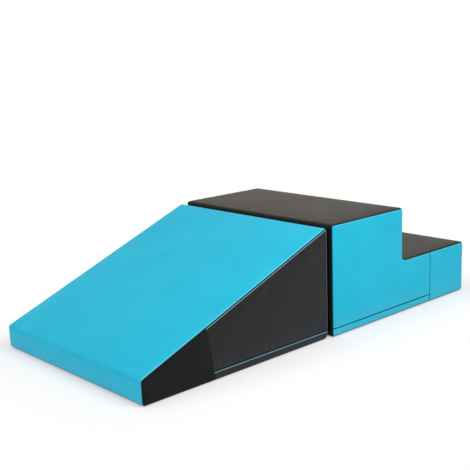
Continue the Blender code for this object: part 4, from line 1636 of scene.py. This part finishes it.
@dataclass
class HiddenZip:
    """The zip behind a cover's two hems: woven tapes, two rows of nylon coil, end stops, slider and pull."""

    block: Block
    height: float = 20 * MM
    tape_depth: float = 1.5 * MM
    tape_thickness: float = 0.5 * MM
    tape_width: float = 13 * MM
    tape_step: float = 4 * MM
    tape_lines: int = 9
    turn_lines: int = 7
    tuck: float = 1.2 * MM
    tuck_below: float = 18 * MM
    slit: float = 0.55 * MM
    closed_share: float = 0.02
    coil_depth: float = 4.2 * MM
    coil_reach: tuple[float, float] = (0.74 * MM, 0.85 * MM)
    coil_half: float = 1.125 * MM
    wire: float = 0.27 * MM
    pitch: float = 1.8 * MM
    turn_points: int = 8
    stop: float = 2 * MM
    tab: float = 6 * MM

    def node(self, kind: str, way: int) -> str:
        """Names the upper or the lower node of a kind."""
        return f"{self.block.prefix}_zip_{kind}_{'upper' if way > 0 else 'lower'}"

    def tape(self, way: int) -> Piece:
        """Weaves one tape: a thin level strip behind the hem, with heights from the slit outwards.

        The slit closes at both ends, and the tape tucks in towards the floor.

        Args:
            way: 1 for the upper tape and -1 for the lower.

        Returns:
            The tape.
        """
        belt = Belt(self.block, self.block.zip_end + self.tab)
        turns = [np.linspace(*belt.stations[0][number:number + 2], self.turn_lines) for number in (1, 3)]
        level = np.arange(0, belt.length(), self.tape_step)
        along = np.unique(np.concatenate((level, belt.stations[0], *turns,
                                          self.tab + np.array((-1, 0)) * MM,
                                          belt.length() - self.tab + np.array((0, 1)) * MM)))
        grid_along, share = np.meshgrid(along, np.linspace(0, 1, self.tape_lines), indexing="ij")
        inside = np.minimum(grid_along, belt.length() - grid_along) - self.tab
        slit = self.slit * np.clip(1 + inside / MM, self.closed_share, 1)
        grid_rise = slit + (self.slit + self.tape_width - slit) * share
        height = self.height + way * grid_rise
        deeper = self.tuck * np.clip(1 - height / self.tuck_below, 0, 1)
        sheets = [belt.at(grid_along, self.tape_depth + deeper + behind, height)[0].reshape(-1, 3)
                  for behind in (0.0, self.tape_thickness)]
        _, quads = grid_faces(np.ones((len(along) - 1, share.shape[1] - 1), bool))
        if way * self.block.sign(Face.FAR) < 0:
            quads = quads[:, ::-1]
        points, faces = shell(*sheets, quads)
        flat = np.stack((grid_along, grid_rise), -1).reshape(-1, 2)
        node = self.node("tape", way)
        piece = new_mesh(f"{node}_woven", self.block.placed(points), faces, np.vstack((flat, flat)))
        piece = carried(piece, self.block.name, "zip_tape", TAPE, node)
        belt.length()
        return piece

    def coil(self, way: int) -> Piece:
        """Winds one row of coil: a wire whose depth and height turn about the row's middle.

        Args:
            way: 1 for the upper row and -1 for the lower.

        Returns:
            The coil.
        """
        belt = Belt(self.block, self.block.zip_end - self.stop, self.coil_depth)
        turns = int(belt.length() / self.pitch) - 1
        along = np.linspace(self.wire, belt.length() - self.wire, turns * self.turn_points + 1)
        turn = 2 * math.pi * np.arange(len(along)) / self.turn_points
        middle = self.height + way * (self.slit + self.coil_half)
        path, _ = belt.at(along, self.coil_depth + self.coil_reach[0] * np.cos(turn),
                          middle + self.coil_reach[1] * np.sin(turn))
        centre, _ = belt.at(along, np.full(len(along), self.coil_depth), np.full(len(along), middle))
        points, faces = tubes(path[None], (path - centre)[None], self.wire, 4)
        node = self.node("coil", way)
        piece = new_mesh(f"{node}_wound", self.block.placed(points), faces)
        return carried(piece, self.block.name, "zip_coil", COIL, node)

    def build(self) -> list[Piece]:
        """Makes the whole zip."""
        made = [make(way) for make in (self.tape, self.coil) for way in (1, -1)]
        for word, finish, bevel in (("stop_parked_end", LACQUERED, 0.3), ("stop_other_end", LACQUERED, 0.3),
                                    ("slider", ZINC, 0.2), ("pull", ZINC, 0.4)):
            made.append(dressed_copy(f"{self.block.prefix}_zip_{word}", finish, "zip_metal", bevel * MM))
        return made


# Grip strips


@dataclass
class GripStrips:
    """The sewn strips that hold the blocks together: looped pile on the wedge, small hooks on the steps."""

    block: Block
    looped: bool
    gap: float = 0.15 * MM
    length: float = 380 * MM
    width: float = 50 * MM
    corner: float = 6 * MM
    border: float = 3 * MM
    tape: float = 0.9 * MM
    tape_step: float = 2.5 * MM
    edge_drop: float = 0.25 * MM
    pile: float = 2.9 * MM
    pile_step: float = 1.4 * MM
    pile_slope: float = 1.5 * MM
    tuft: float = 0.35 * MM
    hook_pitch: float = 3.7 * MM
    hook_rise: float = 1.05 * MM
    hook_wire: float = 0.17 * MM
    stitch_pitch: float = 4 * MM
    stitch_thread: float = 0.25 * MM
    heights: tuple[tuple[str, float], ...] = (("lower", 72 * MM), ("upper", 186 * MM))

    def clamp(self, flat: Array, inset: float) -> tuple[Array, Array]:
        """Moves points on to a rounded rectangle where they lie outside it.

        Past both of a corner's centre lines a point's distance from that centre is held to the corner's
        radius.

        Args:
            flat: rows of (along, across).
            inset: how far inside the strip's edge the rectangle lies.

        Returns:
            The moved points, and how far each lies inside the strip's edge.
        """
        half = np.array((self.length, self.width)) / 2 - self.corner
        over = np.maximum(np.abs(flat) - half, 0)
        away = np.hypot(over[..., 0], over[..., 1])
        held = np.where(away > self.corner - inset, (self.corner - inset) / np.maximum(away, TINY), 1.0)
        moved = np.sign(flat) * (np.minimum(np.abs(flat), half) + over * held[..., None])
        return moved, self.corner - np.minimum(away, self.corner)

    def slab(self, step: float) -> tuple[Array, Array]:
        """Makes the strip itself: a grid held inside the rounded rectangle, as thick as its tape or pile.

        The pile is the tape plus tufts, products of two sines across each other, and it ends at the
        sewn border.

        Args:
            step: the grid's spacing.

        Returns:
            The points as (along, across, out), and the faces.
        """
        flat = crossings(*(np.linspace(-side / 2, side / 2, round(side / step) + 1)
                           for side in (self.length, self.width)))
        middles = (flat[1:, 1:] + flat[:-1, :-1]) / 2
        over = np.maximum(np.abs(middles) - np.array((self.length, self.width)) / 2 + self.corner, 0)
        used, quads = grid_faces(np.hypot(over[..., 0], over[..., 1]) < self.corner)
        flat, inside = self.clamp(flat.reshape(-1, 2)[used], 0.0)
        rise = self.tape - self.edge_drop * (inside < 0.5 * step)
        if self.looped:
            x, y = flat[:, 0] / MM, flat[:, 1] / MM
            tufts = np.sin(1.9 * x + np.sin(0.7 * y)) * np.sin(2.1 * y + np.sin(0.9 * x))
            grown = np.clip((inside - self.border) / self.pile_slope, 0, 1)
            rise += grown * (self.pile - self.tape - self.tuft + self.tuft * tufts)
        top = np.column_stack((flat, rise))
        return shell(top, top * np.array((1, 1, 0)), quads)

    def hooks(self) -> tuple[Array, list[Array]]:
        """Bends one small hook for each place of a staggered grid: up, over and a little down."""
        flat = crossings(*(np.arange(-side / 2 + 2 * self.border, side / 2 - 2 * self.border, self.hook_pitch)
                           for side in (self.length, self.width)))
        flat[:, ::2, 0] += self.hook_pitch / 2
        foot = np.column_stack((flat.reshape(-1, 2), np.full(flat[..., 0].size, 0.8 * self.tape)))
        paths = foot[:, None] + np.array(HOOK_BEND) * self.hook_rise
        return tubes(paths, np.broadcast_to((0.0, 1.0, 0.0), paths.shape), self.hook_wire, 4)

    def stitches(self) -> Array:
        """Gives the paths of the stitches that sew the strip on, a run round it inside its edge."""
        straight_x = self.length / 2 - self.corner
        straight_y = self.width / 2 - self.corner
        bend = self.corner - self.border / 2
        steps = np.cumsum((0, 2 * straight_x, bend * QUARTER, 2 * straight_y, bend * QUARTER) * 2)[:9]
        count = round(steps[-1] / self.stitch_pitch)
        place = (np.arange(count)[:, None] + np.array(STITCH_PLACES)) * steps[-1] / count
        corner_x = straight_x * np.array((-1, 1, 1, 1, 1, -1, -1, -1, -1))
        corner_y = straight_y * np.array((-1, -1, -1, 1, 1, 1, 1, -1, -1))
        angle = QUARTER * np.array((-1, -1, 0, 0, 1, 1, 2, 2, 3))
        turn = np.interp(place, steps, angle)
        x = np.interp(place, steps, corner_x) + bend * np.cos(turn)
        y = np.interp(place, steps, corner_y) + bend * np.sin(turn)
        rise = self.tape + np.array(STITCH_RISE) * MM
        return np.stack((x, y, np.broadcast_to(rise, x.shape)), -1)

    def set_on(self, points: Array, height: float) -> Array:
        """Sets a strip's points on the meeting face: along to -y, across up, and out to -x past the gap."""
        place = np.stack((-self.gap - points[..., 2], -points[..., 0], height + points[..., 1]), -1)
        return self.block.placed(place)

    def build(self) -> list[Piece]:
        """Makes both strips and their stitching."""
        made, sewn = [], []
        kind, slot, finish = ("loop", "loop_pile", PILE) if self.looped else ("hook", "hook_tape", HOOKS)
        for word, height in self.heights:
            points, faces = self.slab(self.pile_step if self.looped else self.tape_step)
            points, faces = joined([(points, [faces])] + ([] if self.looped else [self.hooks()]))
            node = f"{self.block.prefix}_{kind}_strip_{word}"
            piece = new_mesh(f"{node}_sewn", self.set_on(points, height), faces, points[:, :2])
            piece = carried(piece, self.block.name, slot, finish, node)
            made.append(piece)
            sewn.append(self.set_on(self.stitches(), height))
        paths = np.concatenate(sewn)
        points, faces = tubes(paths, np.broadcast_to((1.0, 0.0, 0.0), paths.shape), self.stitch_thread, 5)
        piece = new_mesh(f"{self.block.prefix}_strip_stitching", points, faces)
        return made + [carried(piece, self.block.name, slot, THREAD)]


# A hook's path as shares of its rise. A stitch's places as shares of the pitch, and its heights in
# millimetres.
HOOK_BEND = ((0, 0, 0), (0, 0, 0.75), (0.25, 0, 1.0), (0.6, 0, 0.85))
STITCH_PLACES = (0.1, 0.35, 0.6, 0.85)
STITCH_RISE = (-0.2, 0.12, 0.12, -0.2)


def joined(parts: list[tuple[Array, list[Array]]]) -> tuple[Array, list[Array]]:
    """Puts several meshes' arrays into one, each with its numbers moved past those before it."""
    points, faces, count = [], [], 0
    for place, groups in parts:
        points.append(place)
        faces += [group + count for group in groups]
        count += len(place)
    return np.vstack(points), faces


# Seam threads


@dataclass
class SeamThreads:
    """The threads that show in the seams: short stitches that cross each valley like a ladder's rungs."""

    block: Block
    flat_seam: tuple[Array, Array]
    pitch: float = 5.5 * MM
    thread: float = 0.26 * MM
    reach: float = 1.5 * MM
    slant: float = 0.9 * MM
    corner_gap: float = 5 * MM
    probe: float = 0.1 * MM
    over: tuple[float, ...] = (-1, -0.45, 0.45, 1)
    rise: tuple[float, ...] = (-0.2 * MM, 0.06 * MM, 0.06 * MM, -0.2 * MM)

    def rungs(self, surface: Callable, flat: Array, way: tuple[float, float], edge: Seam) -> Array:
        """Gives the stitches' paths at places on a pattern.

        A path goes across the seam along the surface's own slope there, level with the leather where it
        goes in, and leans along the seam by the slant.

        Args:
            surface: rolls pattern points on to the block.
            flat: rows of pattern points on the seam.
            way: the pattern's direction across the seam.
            edge: the kind of seam.

        Returns:
            A grid of path points in the block's own frame.
        """
        point, facing = surface(flat)[:2]
        ahead, behind = (surface(flat + np.array(way) * sign * self.probe)[0] for sign in (1, -1))
        across = ahead - behind
        across /= np.linalg.norm(across, axis=1, keepdims=True)
        along = np.cross(facing, across)
        over = np.array(self.over)[None, :, None]
        level = edge.value.depth(self.reach) + (self.block.fall(self.reach) if edge is Seam.BLOCK_EDGE else 0)
        sunk = (np.array(self.rise) - level)[None, :, None]
        return (point[:, None] + over * (self.reach * across[:, None] + self.slant / 2 * along[:, None])
                + sunk * facing[:, None])

    def places(self, low: float, high: float) -> Array:
        """Spaces stitches evenly between two places, half a pitch from each."""
        count = max(1, round((high - low) / self.pitch))
        return low + (np.arange(count) + 0.5) * (high - low) / count

    def build(self) -> Piece:
        """Sews the edges all round both sides, the seams across between panels, and the flat side seams."""
        profile, half = self.block.profile, self.block.half_pattern()
        paths = []
        round_edge = self.places(0, profile.length)
        left = np.abs(round_edge[:, None] - np.array(self.seams_across())).min(axis=1)
        round_edge = round_edge[left > self.corner_gap]
        for side in (-1, 1):
            flat = np.column_stack((round_edge, np.full(len(round_edge), side * half)))
            paths.append(self.rungs(self.block.across, flat, (0, 1), Seam.BLOCK_EDGE))
        width = self.places(self.corner_gap - half, half - self.corner_gap)
        for middle in self.seams_across():
            flat = np.column_stack((np.full(len(width), middle), width))
            paths.append(self.rungs(self.block.across, flat, (1, 0), Seam.BLOCK_EDGE))
        start, end = self.flat_seam
        reach = float(np.hypot(*(end - start)))
        flat = start + (self.places(0, reach) / reach)[:, None] * (end - start)
        way = tuple((end - start)[::-1] * np.array((1, -1)) / reach)
        for face in (Face.NEAR, Face.FAR):
            paths.append(self.rungs(partial(self.block.beside, face=face), flat, way, Seam.FLAT_SEAM))
        paths = self.block.placed(np.concatenate(paths))
        points, faces = tubes(paths, np.broadcast_to(NEARLY_UP, paths.shape), self.thread, 5)
        piece = new_mesh(f"{self.block.prefix}_seam_threads", points, faces)
        return carried(piece, self.block.name, "black_vinyl", THREAD)

    def seams_across(self) -> list[float]:
        """Gives the corners whose middle carries a seam: all but the wedge's toe fold and the notch."""
        middles = self.block.profile.middles
        skip = 2 if len(middles) == 4 else 3
        return [place for number, place in enumerate(middles) if number != skip]


# No stitch runs along this direction.
NEARLY_UP = (0.01, 0.01, 1.01)


# Plain finishes


class Grain(Enum):
    """The patterns that a plain finish is drawn with."""

    CELLS = "cells"
    WEAVE = "weave"
    CLOUD = "cloud"


@dataclass(frozen=True)
class PlainFinish(Finish):
    """A material of one substance: two shades mixed by its grain, with the grain's own relief, bump.

    size is the grain's real size. by_pattern is true where it follows the piece's own flat pattern.
    """

    colour: str
    shade: str
    roughness: float
    grain: Grain
    size: float
    bump: float
    by_pattern: bool = False

    def pattern(self, tree: Tree) -> Socket:
        """Draws the grain: rounded cells, crossing threads, or soft noise."""
        place = add_node(tree, "ShaderNodeTexCoord").outputs["UV" if self.by_pattern else "Object"]
        if self.grain is Grain.WEAVE:
            return weave(tree, place, self.size)
        inputs = {"Vector": place, "Scale": 1 / self.size}
        if self.grain is Grain.CELLS:
            return add_node(tree, "ShaderNodeTexVoronoi", inputs).outputs[0]
        return add_node(tree, "ShaderNodeTexNoise", {**inputs, "Detail": 4.0}).outputs[0]

    def draw(self, tree: Tree) -> None:
        """Mixes the two shades by the grain, and raises it."""
        grain = self.pattern(tree)
        colour = add_node(tree, "ShaderNodeMix", {
            "Factor": grain, "A": linear(self.shade), "B": linear(self.colour)}, data_type="RGBA")
        bump = add_node(tree, "ShaderNodeBump", {"Height": grain, "Distance": self.bump})
        finish_tree(tree, {"Base Color": colour.outputs["Result"], "Roughness": self.roughness,
                           "Normal": bump.outputs[0]})


# Open-cell polyurethane foam, cut with a hot wire: off-white, full of pores, quite matt.
FOAM = PlainFinish("polyurethane_foam_cut", "F2F0E6", "D9D4C2", 0.95, Grain.CELLS, 1.5 * MM, 0.4 * MM)
# Polyester zip tape, woven and dyed black: matt, with a fine square weave.
TAPE = PlainFinish("polyester_zip_tape_woven", "26272A", "121315", 0.85, Grain.WEAVE, 0.7 * MM, 0.15 * MM,
                   by_pattern=True)
# Nylon wire, drawn and wound: smooth, a little glossy.
COIL = PlainFinish("nylon_wire_wound", "2B2C2F", "1E1F22", 0.35, Grain.CLOUD, 2.0 * MM, 0.01 * MM)
# Zinc, die cast and lacquered: dark grey with a soft gloss, a little lighter than the tape round it.
ZINC = PlainFinish("zinc_die_cast_lacquered_gunmetal", "3A3B3D", "2F3032", 0.4, Grain.CLOUD, 3.0 * MM,
                   0.02 * MM)
# Brass, stamped and lacquered black: dark metal that doesn't shine out of the slit.
LACQUERED = PlainFinish("brass_stamped_lacquered_black", "1B1B1D", "111112", 0.5, Grain.CLOUD, 3.0 * MM,
                        0.02 * MM)
# Nylon knit with raised loops: fuzzy and quite matt.
PILE = PlainFinish("nylon_loop_pile_knitted", "232426", "0E0F10", 0.95, Grain.CELLS, 0.9 * MM, 0.4 * MM)
# Nylon tape with moulded hooks: harder and a little shinier than the pile.
HOOKS = PlainFinish("nylon_hook_tape_woven", "2A2B2E", "17181A", 0.55, Grain.WEAVE, 0.8 * MM, 0.1 * MM,
                    by_pattern=True)
# Bonded nylon sewing thread: black with a slight gloss.
THREAD = PlainFinish("nylon_sewing_thread_bonded", "222326", "101113", 0.5, Grain.CLOUD, 0.6 * MM, 0.03 * MM)


# Studio


@dataclass(frozen=True)
class Studio:
    """A plain white floor, a soft even light and the photograph's point of view."""

    place: tuple[float, float, float] = (-1.3652, -1.4357, 0.6320)
    heading: float = math.radians(42.489)
    drop: float = math.radians(12.348)
    tilt: float = math.radians(-2.006)
    lens: float = 67.13
    sensor: float = 36.0
    sight: float = 200.0
    floor_side: float = 60.0
    footprint: tuple[float, float, float] = (0.508, 0.246, 0.0)
    shadow_share: float = 0.42
    shadow_reach: float = 0.2

    def seen(self, tree: Tree) -> tuple[bpy.types.Node, Socket]:
        """Adds a Light Path.

        Args:
            tree: the floor's or the world's node tree.

        Returns:
            The Light Path, and 1 for what the camera sees, straight or in a gloss or a glass.
        """
        path = add_node(tree, "ShaderNodeLightPath")
        seen = path.outputs["Is Camera Ray"]
        for ray in ("Is Glossy Ray", "Is Transmission Ray"):
            more = add_node(tree, "ShaderNodeMath", {0: seen, 1: path.outputs[ray]}, operation="MAXIMUM")
            seen = more.outputs[0]
        return path, seen

    def camera(self) -> None:
        """Sets the camera. It looks along its heading and down by its drop, and leans by its tilt."""
        look = np.array((math.sin(self.heading) * math.cos(self.drop),
                         math.cos(self.heading) * math.cos(self.drop), -math.sin(self.drop)))
        level = np.array((math.cos(self.heading), -math.sin(self.heading), 0.0))
        above = np.cross(level, look)
        right = level * math.cos(self.tilt) + above * math.sin(self.tilt)
        up = np.cross(right, look)
        lens = bpy.data.cameras.new("photograph_view")
        lens.lens = self.lens
        lens.sensor_width = self.sensor
        lens.clip_end = self.sight
        camera = linked("photograph_view", lens)
        turn = np.column_stack((right, up, -look))
        camera.matrix_world = Matrix.Translation(self.place) @ Matrix(turn.tolist()).to_4x4()
        bpy.context.scene.camera = camera

    def floor(self) -> None:
        """Lays the floor: white card that keeps the object's shadow and looks plain white farther off."""
        half = self.floor_side / 2
        corners = np.array(((-half, -half, 0), (half, -half, 0), (half, half, 0), (-half, half, 0)))
        floor = new_mesh("white_floor", corners, np.array(((0, 1, 2, 3),)))
        material = blank_material("matt_white_card")
        tree = material.node_tree
        _, seen = self.seen(tree)
        out = object_place(tree)
        for step, links in (("ABSOLUTE", {}), ("SUBTRACT", {1: self.footprint}), ("MAXIMUM", {1: (0, 0, 0)})):
            out = add_node(tree, "ShaderNodeVectorMath", {0: out, **links}, operation=step).outputs[0]
        away = add_node(tree, "ShaderNodeVectorMath", {0: out}, operation="LENGTH")
        white = add_node(tree, "ShaderNodeMapRange", {
            "Value": away.outputs["Value"], "From Min": 0.0, "From Max": self.shadow_reach,
            "To Min": self.shadow_share, "To Max": 1.0}, interpolation_type="SMOOTHSTEP")
        share = add_node(tree, "ShaderNodeMath", {0: seen, 1: white.outputs[0]}, operation="MULTIPLY")
        card = add_node(tree, "ShaderNodeBsdfDiffuse", {"Color": linear("FAFAFA")})
        glow = add_node(tree, "ShaderNodeEmission", {"Color": linear("FFFFFF"), "Strength": 1.0})
        both = add_node(tree, "ShaderNodeMixShader", {
            0: share.outputs[0], 1: card.outputs[0], 2: glow.outputs[0]})
        add_node(tree, "ShaderNodeOutputMaterial", {"Surface": both.outputs[0]})
        floor.data.materials.append(material)

    def world(self) -> None:
        """Lights from all round, and shows plain white behind the floor."""
        world = bpy.data.worlds.new("white_studio")
        world.use_nodes = True
        tree = world.node_tree
        tree.nodes.clear()
        path, seen = self.seen(tree)
        tint = add_node(tree, "ShaderNodeMix", {
            "Factor": path.outputs["Is Glossy Ray"], "A": linear("FFFFFF"), "B": linear("FFF6E9")},
            data_type="RGBA")
        fill = add_node(tree, "ShaderNodeBackground", {"Color": linear("FFFFFF"), "Strength": 0.5})
        white = add_node(tree, "ShaderNodeBackground", {"Color": tint.outputs["Result"], "Strength": 1.0})
        both = add_node(tree, "ShaderNodeMixShader", {
            0: seen, 1: fill.outputs[0], 2: white.outputs[0]})
        add_node(tree, "ShaderNodeOutputWorld", {"Surface": both.outputs[0]})
        bpy.context.scene.world = world

    def lamp(self, name: str, toward: tuple, spread: float, strength: float, colour: str = "FFFFFF") -> None:
        """Hangs a far, broad lamp, which lights the object and the floor evenly.

        Args:
            name: the lamp's name.
            toward: the direction that its light comes from.
            spread: how broad it looks, in degrees.
            strength: in watts for each square metre.
            colour: of its light.
        """
        light = bpy.data.lights.new(name, "SUN")
        light.color = linear(colour)[:3]
        light.angle = math.radians(spread)
        light.energy = strength
        linked(name, light).matrix_world = Vector(toward).to_track_quat("Z", "Y").to_matrix().to_4x4()

    def soft_box(self, place: tuple, aim: tuple, side: float, power: float) -> None:
        """Hangs a near soft box, whose light fades along the object.

        Args:
            place: the box's middle.
            aim: the point that it faces.
            side: of its square front.
            power: in watts.
        """
        light = bpy.data.lights.new("near_soft_box", "AREA")
        light.size = side
        light.energy = power
        turn = (Vector(place) - Vector(aim)).to_track_quat("Z", "Y").to_matrix().to_4x4()
        linked("near_soft_box", light).matrix_world = Matrix.Translation(place) @ turn

    def build(self) -> None:
        """Sets up the whole studio."""
        self.camera()
        self.floor()
        self.world()
        self.lamp("overhead_soft_light", (-0.05, -0.05, 1), 80, 0.8)
        self.lamp("front_soft_light", (0.35, -0.62, 0.7), 35, 0.2)
        self.lamp("left_soft_light", (-1, 0.25, 0.35), 50, 0.46, "D6E4FF")
        self.soft_box((-0.15, -0.9, 0.95), (0.0, -0.24, 0.2), 0.6, 4.4)
        bpy.context.scene.view_settings.view_transform = "Standard"


def corners(*rows: tuple[float, float, float]) -> tuple[Corner, ...]:
    """Turns rows of x, z and radius in millimetres into corners."""
    return tuple(Corner(x * MM, z * MM, radius * MM) for x, z, radius in rows)


WEDGE = Block("wedge", Profile(corners((0, 0, 12), (504, 0, 10), (504, 52, 7), (0, 248, 7))),
              240 * MM, 6 * MM, (-1.5 * MM, 3 * MM, 0.0), -1, 0.8 * MM, "wedge", 323 * MM)
STEPS = Block("steps", Profile(corners((0, 0, 8), (501, 0, 7), (501, 127, 6.5), (251, 127, 10),
                                       (251, 251, 6.5), (0, 251, 7))),
              240 * MM, 6 * MM, (4.5 * MM, -3 * MM, 0.0), 1, 2.0 * MM, "step", 351 * MM)


def report(piece: Piece) -> None:
    """Reports a finished piece and its size."""
    log.info("%s: %d faces", piece.name, len(piece.data.polygons))


def main() -> None:
    """Builds every piece in order and sets up the studio."""
    logging.basicConfig(level=logging.INFO, format="%(message)s")
    covers = (WedgeCover(WEDGE), StepCover(STEPS))
    panels = [panel for cover in covers for panel in cover.panels()]
    Stuffing().fill(panels)
    for panel in panels:
        piece = panel.build()
        report(piece)
    for cover in covers:
        block, looped = cover.block, cover.block is WEDGE
        for maker in (FoamCore(block), HiddenZip(block), GripStrips(block, looped)):
            for piece in maker.build():
                report(piece)
        report(SeamThreads(block, cover.flat_seam()).build())
    Studio().build()


if __name__ == "__main__":
    main()
